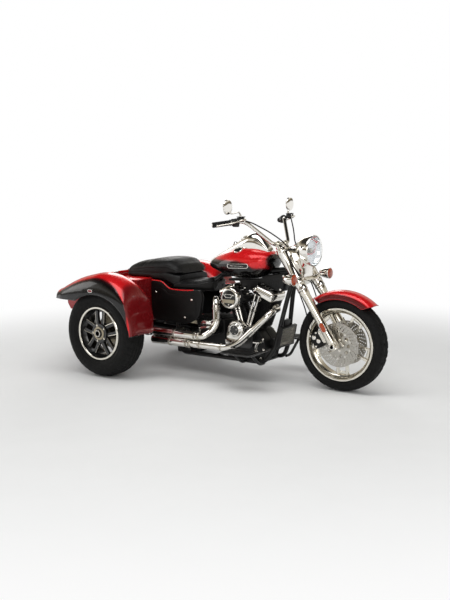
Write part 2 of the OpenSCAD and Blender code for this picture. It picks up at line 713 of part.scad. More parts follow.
// fender stations from the tail to the front edge: x, top, outer and inner side
fender_stations = [[-1062, 592, 618, 470], [-1047, 616, 646, 440], [-992, 648, 680, 412],
    [-900, 694, 697, 0], [-800, 732, 702, 0], [-700, 756, 705, 0], [-635, 768, 705, 0],
    [-560, 764, 705, 0], [-500, 748, 704, 0], [-450, 726, 702, 0], [-400, 692, 700, 0],
    [-365, 652, 697, 0], [-335, 600, 693, 0], [-310, 530, 688, 0], [-292, 460, 680, 420],
    [-280, 380, 668, 450]];
function fender_section(s, t) = let (
    outer = outer_y - 705 + s[2] - t,
    inner = (s[3] == 0 ? inner_y : s[3] + inner_y - 400) + t,
    top = fender_top - 768 + body_z + s[1] - t)
    section(mid_x + s[0], -(outer + inner) / 2, (outer - inner) / 2, top,
        min(top - 40, body_z + 560), body_z + 200, 2.6, 12);
arch_low = body_z + 341;
arch_mid = mid_x - 610;
module rear_fender() difference() {
    loft([for (s = fender_stations) fender_section(s, 0)]);
    intersection() {
        loft([for (s = fender_stations) fender_section(s, fender_wall)]);
        translate([mid_x - 1068, -800, 0]) cube([780, 800, 900]);
    }
    // wheel arch in the outer side, and the hole for the axle in the inner side
    slab_y([for (i = [0:24]) [arch_mid + arch_half * cos(180 * i / 24),
        arch_low + arch_rise * sin(180 * i / 24)]], -800, -inner_y - 60);
    bar_y(rear_x, rear_z, 64, -800, 0);
    // lower edges: level behind the wheel, lower in front of it
    translate([mid_x - 1200, -800, 0]) cube([1200 - 800, 800, body_z + 568]);
    translate([mid_x - 1200, -800, 0]) cube([1200, 800, arch_low]);
}
module rear_fender_right() color("#d41820") rear_fender();
module rear_fender_left() color("#d41820") mirror([0, 1, 0]) rear_fender();

module rear_lamps() color("#a00c10") both_sides() {
    // side marker on the fender, and tail lamp on the luggage box
    difference() {
        bar_y(mid_x - 641, body_z + 646, 20, outer_y - 30, outer_y - 1);
        mirror([0, 1, 0]) loft([for (s = fender_stations) fender_section(s, -seat)]);
    }
    translate([body_back_x - seat, 300, body_z + 532]) rotate([0, -90, 0])
        cylinder(h = 24, r = 38);
}

bumper_z = boot_floor_z - 12 - seat;
plate_x = rear_x - rear_overhang;
module rear_bumper() color("silver") difference() {
    union() {
        bar_y(body_back_x - 60, bumper_z, 14, -314, 314);
        for (y = [-300, 300])
            rod([body_back_x - 60, y, bumper_z], [body_back_x + 100, y, bumper_z], 12);
        for (y = [-60, 60]) translate([plate_x, y - 6, bumper_z - 6])
            cube([body_back_x - 60 - plate_x, 12, 12]);
        translate([plate_x, -95, bumper_z - 10]) cube([4, 190, 130]);
    }
    for (y = [-1, 1])
        translate([plate_x - 5, y * plate_bolt_span / 2, bumper_z + 98])
            rotate([0, 90, 0]) cylinder(h = 20, r = plate_hole_r);
}

axle_tube_y = wheel_y - 120;
arm_y = 78;
module rear_axle() color("#262626") {
    bar_y(rear_x, rear_z, 42, -axle_tube_y, axle_tube_y);
    // differential housing and the pulley beside it
    bar_y(rear_x, rear_z, 95, -80, belt_y[0] - 8);
    bar_y(rear_x, rear_z, rear_pulley_r, belt_y[0], belt_y[1]);
    bar_y(rear_x, rear_z, rear_axle_r, -wheel_y - 88, wheel_y + 88);
    both_sides() {
        rod([pivot.x, arm_y, pivot.y], [rear_x + 20, arm_y, rear_z], 22);
    }
    bar_y(pivot.x, pivot.y, 20, -rail_y + seat, rail_y - seat);
}

module rear_shocks() color("silver") both_sides() {
    low = [rear_x + 44, 160, rear_z + 62];
    high = [mid_x - 395, 160, seat_rail_z - 8];
    rod(low, high, 12);
    rod(low + (high - low) * 0.2, low + (high - low) * 0.8, 30);
    bar_y(high.x, high.z, 14, 120 + frame_r + seat, 175);
    bar_y(low.x, low.z, 14, 145, 175);
}

// outline around both pulleys, at a distance from their rims
function belt_outline(grow) = let (
    d = front_pulley - [rear_x, rear_z],
    turn = atan2(d.y, d.x),
    taper = asin((rear_pulley_r - front_pulley_r) / norm(d)))
    concat([for (i = [0:16]) let (a = turn + 90 - taper + i * (180 + 2 * taper) / 16)
            [rear_x + (rear_pulley_r + grow) * cos(a), rear_z + (rear_pulley_r + grow) * sin(a)]],
        [for (i = [0:12]) let (a = turn - 90 + taper + i * (180 - 2 * taper) / 12)
            front_pulley + (front_pulley_r + grow) * [cos(a), sin(a)]]);
module drive_belt() color("#1a1a1a") difference() {
    slab_y(belt_outline(7), belt_y[0], belt_y[1]);
    slab_y(belt_outline(1.2), belt_y[0] - 1, belt_y[1] + 1);
}

module rear_calipers() color("#202020") both_sides() difference() {
    union() {
        bar_y(rear_x, rear_z, 60, axle_tube_y + seat, axle_tube_y + 12);
        translate([rear_x - 130, axle_tube_y + seat, rear_z - 25]) cube([100, 12 - seat, 50]);
        translate([rear_x - 148, axle_tube_y + seat, rear_z - 36]) cube([60, 74, 72]);
    }
    // bore over the axle, and the slot for the disc
    bar_y(rear_x, rear_z, rear_axle_r + fit, axle_tube_y, wheel_y);
    bar_y(rear_x, rear_z, rear_disc_r + clear, wheel_y - rear_disc_in - disc_t - clear,
        wheel_y - rear_disc_in + clear);
}

// ---- covers, foot controls and cooler ----

// cover for the coils and the wiring, hung under the backbone over the engine
backbone_slope = atan((neck_mid.z - 10 - backbone_end.z) / (neck_mid.x - backbone_end.x));
function under_backbone(x) = backbone_end.z + (x - backbone_end.x) * tan(backbone_slope)
    - 22 / cos(backbone_slope) - seat;
module wiring_cover() color("#151515") {
    slab_y([[mid_x + 215, 704], [mid_x + 247, 642], [mid_x + 350, 642], [mid_x + 380, 704],
        [mid_x + 402, 702], [mid_x + 546, 643], [mid_x + 572, 650], [mid_x + 590, 700],
        [mid_x + 600, under_backbone(mid_x + 600)], [mid_x + 480, under_backbone(mid_x + 480)],
        [mid_x + 440, 757], [mid_x + 390, 730], [mid_x + 310, 719], [mid_x + 220, 719],
        [mid_x + 120, 717], [mid_x + 120, 700], [mid_x + 190, 703]], -60, 60);
}

// voltage regulator between the front tubes, against the back of the cooler
function tube_front(z) = down_low.x + (z - down_low.z) * tan(down_tilt) + frame_r / cos(down_tilt);
module regulator() color("#151515") {
    slab_y([[tube_front(300) - 28, 300], [tube_front(300), 300], [tube_front(450), 450],
        [tube_front(450) - 28, 450]], -38, 38);
}

module footboards() color("#181818") both_sides() {
    slab_y([[mid_x + 300, 246], [mid_x + 560, 246], [mid_x + 640, 282], [mid_x + 634, 292],
        [mid_x + 556, 262], [mid_x + 300, 262]], 290, 440);
    for (x = [mid_x + 330, mid_x + 480])
        bent_tube([[x, rail_y + frame_r + seat, rail_z + 12], [x, 215, rail_z + 12], [x, 330, 250]], 10);
}

module foot_controls() color("silver") {
    // brake pedal on the right, shift lever on the left
    both_sides() {
        bent_tube([[mid_x + 520, 310, 262 + seat], [mid_x + 520, 310, 300], [mid_x + 545, 310, 330]], 8);
        translate([mid_x + 525, 290, 330]) cube([50, 70, 12]);
    }
}

module oil_cooler() color("#151515") {
    foot = down_low + 20 / cos(down_tilt) * [sin(down_tilt), 0, cos(down_tilt)];
    translate([foot.x + (frame_r + seat) / cos(down_tilt), -100, foot.z])
        rotate([0, down_tilt, 0]) cube([24, 200, 150]);
}

frame();
crankcase();
cylinders();
rocker_covers();
pushrod_tubes();
cam_cover();
primary_cover();
gearbox();
air_cleaner();
exhaust_headers();
mufflers();
fuel_tank();
tank_console();
rider_seat();
passenger_seat();
side_covers();
rear_body();
rear_fender_right();
rear_fender_left();
rear_lamps();
rear_bumper();
rear_axle();
rear_shocks();
drive_belt();
rear_calipers();
footboards();
foot_controls();
oil_cooler();
wiring_cover();
regulator();
fork_clamps();
fork_tubes();
fork_sliders();
headlamp_nacelle();
headlamp();
handlebar();
hand_controls();
hand_levers();
grips();
mirrors();
front_turn_signals();
front_fender();
front_calipers();
front_axle();
front_tyre();
front_rim();
front_discs();
rear_tyre_right();
rear_rim_right();
rear_tyre_left();
rear_rim_left();
trunk_lid();
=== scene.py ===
import math

import bmesh
import bpy
import numpy as np
from mathutils import Matrix, Vector


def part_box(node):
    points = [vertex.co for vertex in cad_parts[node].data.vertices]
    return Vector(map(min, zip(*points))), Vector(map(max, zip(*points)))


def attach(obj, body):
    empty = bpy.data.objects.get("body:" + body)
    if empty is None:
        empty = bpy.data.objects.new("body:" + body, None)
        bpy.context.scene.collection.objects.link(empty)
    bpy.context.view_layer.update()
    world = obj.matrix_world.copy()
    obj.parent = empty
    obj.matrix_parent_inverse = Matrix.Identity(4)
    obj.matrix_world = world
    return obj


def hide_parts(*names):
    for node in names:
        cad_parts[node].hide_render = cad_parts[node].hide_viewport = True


# Motorized trike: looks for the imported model. Lengths are in millimetres and are turned into
# metres where a piece is made. +X is forward, +Y the rider's left, +Z up, the floor is z = 0.
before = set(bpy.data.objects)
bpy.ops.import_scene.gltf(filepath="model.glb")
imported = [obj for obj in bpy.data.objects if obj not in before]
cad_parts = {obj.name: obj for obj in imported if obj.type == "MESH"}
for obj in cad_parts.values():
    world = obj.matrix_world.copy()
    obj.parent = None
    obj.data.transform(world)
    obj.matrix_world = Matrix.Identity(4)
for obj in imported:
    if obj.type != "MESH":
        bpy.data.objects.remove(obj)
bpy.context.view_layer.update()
scene = bpy.context.scene
MM = 0.001

# ---- camera ----

CAMERA_PLACE = (3.6041, -4.9191, 1.3972)
AZIMUTH = math.radians(35.897)
ELEVATION = math.radians(7.98)
ROLL = math.radians(-0.726)


def make_camera():
    """Camera at three-quarter front view, from the right and a little above."""
    data = bpy.data.cameras.new("camera")
    data.sensor_width = 36
    data.lens = 49.92
    camera = bpy.data.objects.new("camera", data)
    scene.collection.objects.link(camera)
    back = Vector((math.sin(AZIMUTH) * math.cos(ELEVATION), -math.cos(AZIMUTH) * math.cos(ELEVATION),
                   math.sin(ELEVATION)))
    right = Vector((0, 0, 1)).cross(back).normalized()
    up = back.cross(right)
    tilted_right = right * math.cos(ROLL) + up * math.sin(ROLL)
    tilted_up = up * math.cos(ROLL) - right * math.sin(ROLL)
    turned = Matrix((tilted_right, tilted_up, back)).transposed().to_4x4()
    camera.matrix_world = Matrix.Translation(CAMERA_PLACE) @ turned
    scene.camera = camera


make_camera()

# ---- shape tools ----

PLAIN = Matrix.Identity(4)
MIRROR = Matrix.Diagonal((1, -1, 1, 1))


def move(x, y, z):
    return Matrix.Translation((x, y, z))


def turn(axis, degrees):
    return Matrix.Rotation(math.radians(degrees), 4, axis)


def aim(point, direction):
    """Lays local Z along a direction, from a point."""
    return move(*point) @ Vector(direction).to_track_quat("Z", "Y").to_matrix().to_4x4()


def upright(y):
    """Stands an outline of x and z up at a y."""
    return move(0, y, 0) @ turn("X", 90)


def along_y(x, z, y=0):
    """Lays local Z along +Y, local X stays X and local Y points down."""
    return move(x, y, z) @ turn("X", -90)


class Piece:
    """A piece being made: points in millimetres, faces, and the finish of each face."""

    def __init__(self, name, body, finishes, stands_for=(), slot=None):
        self.name, self.body, self.finishes = name, body, finishes
        self.stands_for, self.slot = stands_for, slot
        self.points, self.faces, self.finish_of = [], [], []

    def add(self, mesh, place=PLAIN, finish=0, both=False):
        """Adds a mesh at a place; both adds its mirror image on the other side too."""
        points, faces = mesh
        for matrix in [place, MIRROR @ place] if both else [place]:
            first = len(self.points)
            self.points += [matrix @ Vector(p) for p in points]
            order = 1 if matrix.determinant() > 0 else -1
            self.faces += [[first + i for i in face][::order] for face in faces]
            self.finish_of += [finish] * len(faces)
        return self

    def done(self, sharp=35, bevel=0.0, thick=0.0, closed=True):
        """Makes the object; edges above sharp degrees stay sharp, thick gives a sheet its thickness."""
        data = bpy.data.meshes.new(self.name)
        data.from_pydata([p * MM for p in self.points], [], self.faces)
        for finish in self.finishes:
            data.materials.append(finish)
        data.polygons.foreach_set("material_index", self.finish_of)
        work = bmesh.new()
        work.from_mesh(data)
        bmesh.ops.remove_doubles(work, verts=work.verts, dist=0.01 * MM)
        if closed:
            bmesh.ops.recalc_face_normals(work, faces=work.faces)
        work.to_mesh(data)
        work.free()
        data.shade_smooth()
        data.set_sharp_from_angle(angle=math.radians(sharp))
        made = bpy.data.objects.new(self.name, data)
        scene.collection.objects.link(made)
        if thick:
            solid = made.modifiers.new("thickness", "SOLIDIFY")
            solid.thickness = thick * MM
            solid.offset = -1
        if bevel:
            rounded = made.modifiers.new("rounded edges", "BEVEL")
            rounded.width = bevel * MM
            rounded.segments = 2
            rounded.limit_method = "ANGLE"
            rounded.angle_limit = math.radians(30)
        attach(made, self.body)
        if self.stands_for:
            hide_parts(*self.stands_for)
        return made


def lathe(profile, steps=64):
    """(radius, height) points turned round Z. A closed section repeats its first point."""
    n = len(profile)
    points = [(r * math.cos(math.tau * i / steps), r * math.sin(math.tau * i / steps), h)
              for i in range(steps) for r, h in profile]
    faces = [[i * n + j, (i + 1) % steps * n + j, (i + 1) % steps * n + j + 1, i * n + j + 1]
             for i in range(steps) for j in range(n - 1)]
    return points, faces


def drum(r, low, high, steps):
    """Plain round bar along local Z."""
    return lathe([(0, low), (r, low), (r, high), (0, high)], steps)


def collar(bore, r, low, high, steps):
    """Round bar with a bore."""
    return lathe([(bore, low), (r, low), (r, high), (bore, high), (bore, low)], steps)


def skin(rings, closed_rings=True, caps=True):
    """Faces over rings of points, each ring with the same count."""
    m, n = len(rings), len(rings[0])
    faces = [[i * n + j, (i + 1) * n + j, (i + 1) * n + (j + 1) % n, i * n + (j + 1) % n]
             for i in range(m - 1) for j in range(n if closed_rings else n - 1)]
    if closed_rings and caps:
        faces += [list(range(n)), [(m - 1) * n + j for j in range(n)][::-1]]
    return [p for ring in rings for p in ring], faces


def rounded_path(points, reach, steps=8):
    """A path whose corners are turned into bends that start at most reach before the corner."""
    path = [Vector(points[0])]
    for before, corner, after in zip(points, points[1:], points[2:]):
        before, corner, after = Vector(before), Vector(corner), Vector(after)
        d = min(reach, (before - corner).length * 0.49, (after - corner).length * 0.49)
        start = corner + (before - corner).normalized() * d
        end = corner + (after - corner).normalized() * d
        for i in range(steps + 1):
            t = i / steps
            path.append(start * (1 - t) ** 2 + corner * 2 * t * (1 - t) + end * t * t)
    return path + [Vector(points[-1])]


def pipe(points, radius, reach=40, sides=20):
    """Round bar along a path. Bends start at most reach before a corner; reach 0, or a radius for
    each point, keeps the points as they are."""
    bends = reach and np.isscalar(radius) and len(points) > 2
    path = rounded_path(points, reach) if bends else [Vector(p) for p in points]
    radii = [radius] * len(path) if np.isscalar(radius) else radius
    rings = []
    forward = (path[1] - path[0]).normalized()
    side = forward.orthogonal().normalized()
    for i, p in enumerate(path):
        nearest = path[min(i + 1, len(path) - 1)] - path[max(i - 1, 0)]
        turned = nearest.normalized()
        side = (forward.rotation_difference(turned) @ side).normalized()
        forward = turned
        other = forward.cross(side)
        rings.append([p + (side * math.cos(a) + other * math.sin(a)) * radii[i]
                      for a in (math.tau * k / sides for k in range(sides))])
    return skin(rings)


def circle(r, x=0.0, y=0.0, n=32, first=0.0):
    """Points round a middle; first turns the row by that share of a step."""
    return [(x + r * math.cos(a), y + r * math.sin(a)) for a in (math.tau * (i + first) / n
                                                                 for i in range(n))]


def capsule(length, r):
    """Outline with straight sides and round ends, along local X, by its whole length."""
    half, n = length / 2 - r, 12
    return ([(half + r * math.sin(math.pi * i / n), -r * math.cos(math.pi * i / n)) for i in range(n + 1)]
            + [(-half - r * math.sin(math.pi * i / n), r * math.cos(math.pi * i / n))
               for i in range(n + 1)])


def fillet(outline, r, n=6):
    """Outline with its corners rounded."""
    made = []
    for i in range(len(outline)):
        before, corner, after = (Vector(outline[k % len(outline)]) for k in (i - 1, i, i + 1))
        d = min(r, (before - corner).length * 0.45, (after - corner).length * 0.45)
        start = corner + (before - corner).normalized() * d
        end = corner + (after - corner).normalized() * d
        made += [tuple(start * (1 - t) ** 2 + corner * 2 * t * (1 - t) + end * t * t)
                 for t in (k / n for k in range(n + 1))]
    return made


def plate(outline, thick, bevel=0.0, holes=()):
    """Flat shape in local X and Y with holes cut out, thick along Z on both sides of 0."""
    curve = bpy.data.curves.new("outline", "CURVE")
    curve.dimensions = "2D"
    curve.fill_mode = "BOTH"
    curve.extrude = thick / 2 - bevel
    curve.bevel_depth = bevel
    curve.bevel_resolution = 2
    curve.offset = -bevel
    for loop in [outline, *holes]:
        spline = curve.splines.new("POLY")
        spline.points.add(len(loop) - 1)
        spline.points.foreach_set("co", [v for x, y in loop for v in (x, y, 0, 1)])
        spline.use_cyclic_u = True
    shape = bpy.data.objects.new("outline", curve)
    data = bpy.data.meshes.new_from_object(shape)
    made = [tuple(v.co) for v in data.vertices], [list(p.vertices) for p in data.polygons]
    bpy.data.objects.remove(shape)
    bpy.data.curves.remove(curve)
    bpy.data.meshes.remove(data)
    return made


def block(x, y, z, bevel=3.0, segments=2):
    """Box about the origin with rounded edges."""
    work = bmesh.new()
    bmesh.ops.create_cube(work, size=1)
    bmesh.ops.scale(work, vec=(x, y, z), verts=work.verts)
    if bevel:
        bmesh.ops.bevel(work, geom=list(work.edges), offset=bevel, segments=segments, profile=0.5,
                        affect="EDGES")
    work.verts.index_update()
    made = [tuple(v.co) for v in work.verts], [[v.index for v in f.verts] for f in work.faces]
    work.free()
    return made


def bolt(r):
    """Cap screw standing on z = 0: washer, head and round socket."""
    return lathe([(0, 0), (r * 1.45, 0), (r * 1.45, r * 0.2), (r, r * 0.22), (r, r * 0.85), (r * 0.85, r),
                  (r * 0.5, r), (r * 0.45, r * 0.5), (0, r * 0.5)], 12)


def superellipse(x, y, half, top, mid, bottom, up=2.4, down=2.4, n=48):
    """Closed rounded section in Y and Z at one x: half width, top, widest height and bottom."""
    ring = []
    for i in range(n):
        a = math.tau * (i + 0.5) / n
        power = 2 / (up if a < math.pi else down)
        high = top - mid if a < math.pi else mid - bottom
        ring.append((x, y + half * math.copysign(abs(math.cos(a)) ** power, math.cos(a)),
                     mid + high * math.copysign(abs(math.sin(a)) ** power, math.sin(a))))
    return ring


def station(table, x):
    """Row of a table of stations at x, on a smooth curve through its rows."""
    rows = np.array(table, float)
    slopes = np.gradient(rows, rows[:, 0], axis=0)
    i = int(np.clip(np.searchsorted(rows[:, 0], x) - 1, 0, len(rows) - 2))
    gap = rows[i + 1, 0] - rows[i, 0]
    t = (x - rows[i, 0]) / gap
    return (rows[i] * (2 * t ** 3 - 3 * t * t + 1) + slopes[i] * gap * (t ** 3 - 2 * t * t + t)
            + rows[i + 1] * (3 * t * t - 2 * t ** 3) + slopes[i + 1] * gap * (t ** 3 - t * t))


def soft_step(low, high, value):
    t = min(1.0, max(0.0, (value - low) / (high - low)))
    return t * t * (3 - 2 * t)


def shade(made, tone):
    """Keeps a tone for each point of a sprayed piece: 0 red, 0.5 dark red, 1 black. A tone that follows
    the way a face points is painted shade.
    """
    values = [tone(v.co / MM, v.normal) for v in made.data.vertices]
    made.data.attributes.new("tone", "FLOAT", "POINT").data.foreach_set("value", values)

# ---- finishes ----


def linear(code):
    """sRGB hex to the linear colour that shaders take."""
    parts = [int(code[i:i + 2], 16) / 255 for i in (1, 3, 5)]
    return tuple(c / 12.92 if c <= 0.04045 else ((c + 0.055) / 1.055) ** 2.4 for c in parts) + (1.0,)


def add(tree, kind, settings=None, sockets=None):
    """A node with its settings; sockets take a value, or the output that is linked to them."""
    node = tree.nodes.new("ShaderNode" + kind)
    for name, value in (settings or {}).items():
        setattr(node, name, value)
    for name, value in (sockets or {}).items():
        if isinstance(value, bpy.types.NodeSocket):
            tree.links.new(value, node.inputs[name])
        else:
            node.inputs[name].default_value = value
    return node


def surface(name, shader_values, light, dark, rough, grain, bump=0.0, stretch=(1, 1, 1), pattern=None):
    """A finish whose colour and gloss drift between two values in a noise of the grain's size in mm.

    pattern takes the tree, the place and the drift, and gives a colour, a height or both."""
    made = bpy.data.materials.new(name)
    made.use_nodes = True
    made.diffuse_color = linear(light)
    tree = made.node_tree
    tree.nodes.clear()
    place = add(tree, "TexCoord").outputs["Object"]
    stretched = add(tree, "Mapping", None, {"Vector": place, "Scale": stretch}).outputs[0]
    drift = add(tree, "TexNoise", None, {"Vector": stretched, "Scale": 1000 / grain, "Detail": 4.0,
                                         "Roughness": 0.6}).outputs["Fac"]
    colour = add(tree, "Mix", {"data_type": "RGBA"}, {"Factor": drift, 6: linear(light),
                                                      7: linear(dark)}).outputs[2]
    height = drift
    if pattern:
        colour, height = pattern(tree, place, drift, colour)
    gloss = add(tree, "MapRange", None, {"Value": drift, "From Min": 0.3, "From Max": 0.7,
                                         "To Min": rough[0],
                                         "To Max": rough[1]}).outputs[0]
    shader = add(tree, "BsdfPrincipled", None, {"Base Color": colour, "Roughness": gloss,
                                                **shader_values})
    if bump:
        raised = add(tree, "Bump", None, {"Height": height, "Strength": bump, "Distance": 0.0005})
        tree.links.new(raised.outputs[0], shader.inputs["Normal"])
    add(tree, "OutputMaterial", None, {"Surface": shader.outputs[0]})
    return made


def shade_and_tank_fade_ramp(tree, place, drift, colour):
    """Red that darkens and turns black by the tone kept on each point: painted shade on the fenders,
    luggage body and boot lid, and on the tank a fade from red on top to black below; a fine flake lies in
    it.
    """
    tone = add(tree, "Attribute", {"attribute_name": "tone"}).outputs["Fac"]
    ramp = add(tree, "ValToRGB", None, {"Fac": tone})
    stops = ramp.color_ramp.elements
    stops[0].color = linear("#E0151A")
    stops[1].position, stops[1].color = 1.0, linear("#070607")
    for where, code in ((0.3, "#D01318"), (0.5, "#7E0E13"), (0.75, "#2A0608")):
        stops.new(where).color = linear(code)
    flake = add(tree, "TexVoronoi", None, {"Vector": place, "Scale": 900.0}).outputs["Color"]
    mixed = add(tree, "Mix", {"data_type": "RGBA", "blend_type": "SOFT_LIGHT"},
                {"Factor": 0.12, 6: ramp.outputs[0], 7: flake}).outputs[2]
    return mixed, drift


def grained(size, depth):
    """Cells of a moulded or leather grain, as wide as size in mm."""
    def pattern(tree, place, drift, colour):
        cells = add(tree, "TexVoronoi", {"feature": "DISTANCE_TO_EDGE"},
                    {"Vector": place, "Scale": 1000 / size})
        edge = add(tree, "MapRange", None, {"Value": cells.outputs["Distance"],
                                            "From Max": depth}).outputs[0]
        height = add(tree, "Math", {"operation": "ADD"}, {0: edge, 1: drift}).outputs[0]
        return colour, height
    return pattern


def ribbed(spacing, axis):
    """Even ribs moulded across a lens or pad, by their spacing in mm."""
    def pattern(tree, place, drift, colour):
        ribs = add(tree, "TexWave", {"bands_direction": axis},
                   {"Vector": place, "Scale": 1000 / spacing / 6.28 * 2,
                                                              "Distortion": 0.0})
        return colour, ribs.outputs["Fac"]
    return pattern


# candy enamel under clear lacquer: deep red with a sharp gloss on top; its tone ramp paints shade on the
# fenders, luggage body and boot lid, and fades the tank from red on top to black below
lacquer = {"Coat Weight": 1.0, "Coat Roughness": 0.03, "IOR": 1.5}
red_enamel = surface("sprayed_red_enamel", {**lacquer, "Metallic": 0.25, "Coat Weight": 0.55,
                                            "Specular IOR Level": 0.3},
                     "#E0151A", "#C01015", (0.22, 0.3), 60, pattern=shade_and_tank_fade_ramp)
# the cover's own red, kept only on the lit top edge of the side covers: a painted highlight
edge_highlight_red = surface("red_edge_painted_highlight", lacquer, "#E8262A", "#D01318", (0.2, 0.3), 8)
# black of the side covers: painted shade over covers that are body colour
cover_shade_black = surface("black_cover_painted_shade", {"Specular IOR Level": 0.3}, "#070707", "#040404",
                      (0.42, 0.55), 40)
black_enamel = surface("sprayed_black_enamel", {**lacquer, "Coat Weight": 0.3,
                                                "Specular IOR Level": 0.35},
                       "#080708", "#040404", (0.22, 0.34), 40)
# plated steel: mirror bright, with faint waves from polishing
plated_chrome = surface("plated_chrome", {"Metallic": 1.0}, "#F2F0EC", "#DEDAD2", (0.03, 0.09), 18, 0.03)
# cast aluminium, bead blasted and painted: soft black with a sandy bump
cast_black = surface("painted_cast_aluminium", {"Specular IOR Level": 0.35}, "#0E0E0E", "#060606",
                     (0.4, 0.58), 2.5, 0.35)
machined = surface("machined_aluminium", {"Metallic": 1.0}, "#CFCBC2", "#A7A195", (0.22, 0.36), 3, 0.12,
                   (1, 12, 1))
polished_alloy = surface("polished_aluminium", {"Metallic": 1.0}, "#EFECE4", "#D2CCBE", (0.1, 0.18), 14,
                         0.04)
satin_alloy = surface("satin_aluminium", {"Metallic": 1.0}, "#B9B09C", "#948A74", (0.28, 0.42), 4, 0.1)
black_alloy = surface("gloss_black_aluminium", {"IOR": 1.5, "Coat Weight": 0.6, "Coat Roughness": 0.1},
                      "#0E0E0F",
                      "#070707", (0.3, 0.42), 10, 0.05)
ground_steel = surface("ground_steel", {"Metallic": 1.0}, "#C9C6C0", "#9E9A92", (0.24, 0.38), 2, 0.15,
                       (1, 30, 1))
frame_black = surface("powder_coated_steel", {"Specular IOR Level": 0.4}, "#0A0A0A", "#050505",
                      (0.3, 0.42), 1.5, 0.12)
# vulcanised tyre rubber: matte, with a fine moulded grain
tyre_rubber = surface("vulcanised_tyre_rubber", {"Specular IOR Level": 0.25}, "#0C0C0C", "#060606",
                      (0.6, 0.8), 12, 0.3,
                      pattern=grained(3.5, 0.2))
moulded_rubber = surface("moulded_rubber", {"Specular IOR Level": 0.28}, "#0B0B0B", "#060606",
                         (0.55, 0.75), 3, 0.25)
# expanded vinyl pressed with a leather grain, about 3 mm from crease to crease
seat_vinyl = surface("grained_seat_vinyl", {"Specular IOR Level": 0.32}, "#0B0A0B", "#060606",
                     (0.4, 0.54), 30, 0.4,
                     pattern=grained(3.2, 0.12))
seat_piping = surface("vinyl_piping", {"IOR": 1.5}, "#1B1A1B", "#0F0F0F", (0.35, 0.5), 6, 0.15)
moulded_plastic = surface("moulded_abs_plastic", {"Specular IOR Level": 0.35}, "#0C0C0C", "#070707",
                          (0.36, 0.5), 2, 0.2)
red_lens = surface("moulded_red_acrylic", {"IOR": 1.49, "Transmission Weight": 0.35, "Coat Weight": 0.5},
                   "#A80C14",
                   "#7C070D", (0.08, 0.14), 20, 0.5, pattern=ribbed(6, "Z"))
amber_lens = surface("moulded_amber_acrylic", {"IOR": 1.49, "Transmission Weight": 0.3,
                                               "Coat Weight": 0.5},
                     "#D4541A", "#A83A0C", (0.08, 0.14), 20, 0.5, pattern=ribbed(5, "Z"))
clear_glass = surface("pressed_clear_glass", {"IOR": 1.5, "Transmission Weight": 1.0}, "#FFFFFF",
                      "#F4F6F6",
                      (0.0, 0.02), 40)
mirror_glass = surface("silvered_glass", {"Metallic": 1.0}, "#E9ECEE", "#DDE1E4", (0.01, 0.03), 60)
dial_face = surface("printed_dial_face", {"IOR": 1.5}, "#E7E2D6", "#D8D2C4", (0.4, 0.5), 10)
caliper_black = surface("anodised_caliper_aluminium", {"Metallic": 0.6}, "#1A1918", "#100F0F",
                        (0.35, 0.5), 3,
                        0.15)
soot = surface("sooted_steel", {"Metallic": 0.4}, "#171412", "#0B0908", (0.7, 0.85), 6, 0.2)

# ---- light and floor ----


def floor_paper():
    """Matte paper that turns into an even white glow far from the middle, so no horizon shows."""
    made = surface("seamless_floor_paper", {}, "#F1F1EF", "#ECECEA", (0.7, 0.8), 300)
    tree = made.node_tree
    out = next(node for node in tree.nodes if node.type == "OUTPUT_MATERIAL")
    paper = out.inputs["Surface"].links[0].from_socket
    place = add(tree, "TexCoord").outputs["Object"]
    away = add(tree, "VectorMath", {"operation": "LENGTH"}, {0: place}).outputs["Value"]
    far = add(tree, "MapRange", {"interpolation_type": "SMOOTHSTEP"},
              {"Value": away, "From Min": 1.6, "From Max": 4.2}).outputs[0]
    glow = add(tree, "Emission", None, {"Color": (1, 1, 1, 1), "Strength": 1.0}).outputs[0]
    rays = add(tree, "LightPath")
    seen = add(tree, "Math", {"operation": "MAXIMUM"}, {0: rays.outputs["Is Camera Ray"],
                                                        1: rays.outputs["Is Glossy Ray"]}).outputs[0]
    share = add(tree, "Math", {"operation": "MULTIPLY"}, {0: far, 1: seen}).outputs[0]
    mixed = add(tree, "MixShader", None, {0: share, 1: paper, 2: glow})
    tree.links.new(mixed.outputs[0], out.inputs["Surface"])
    return made


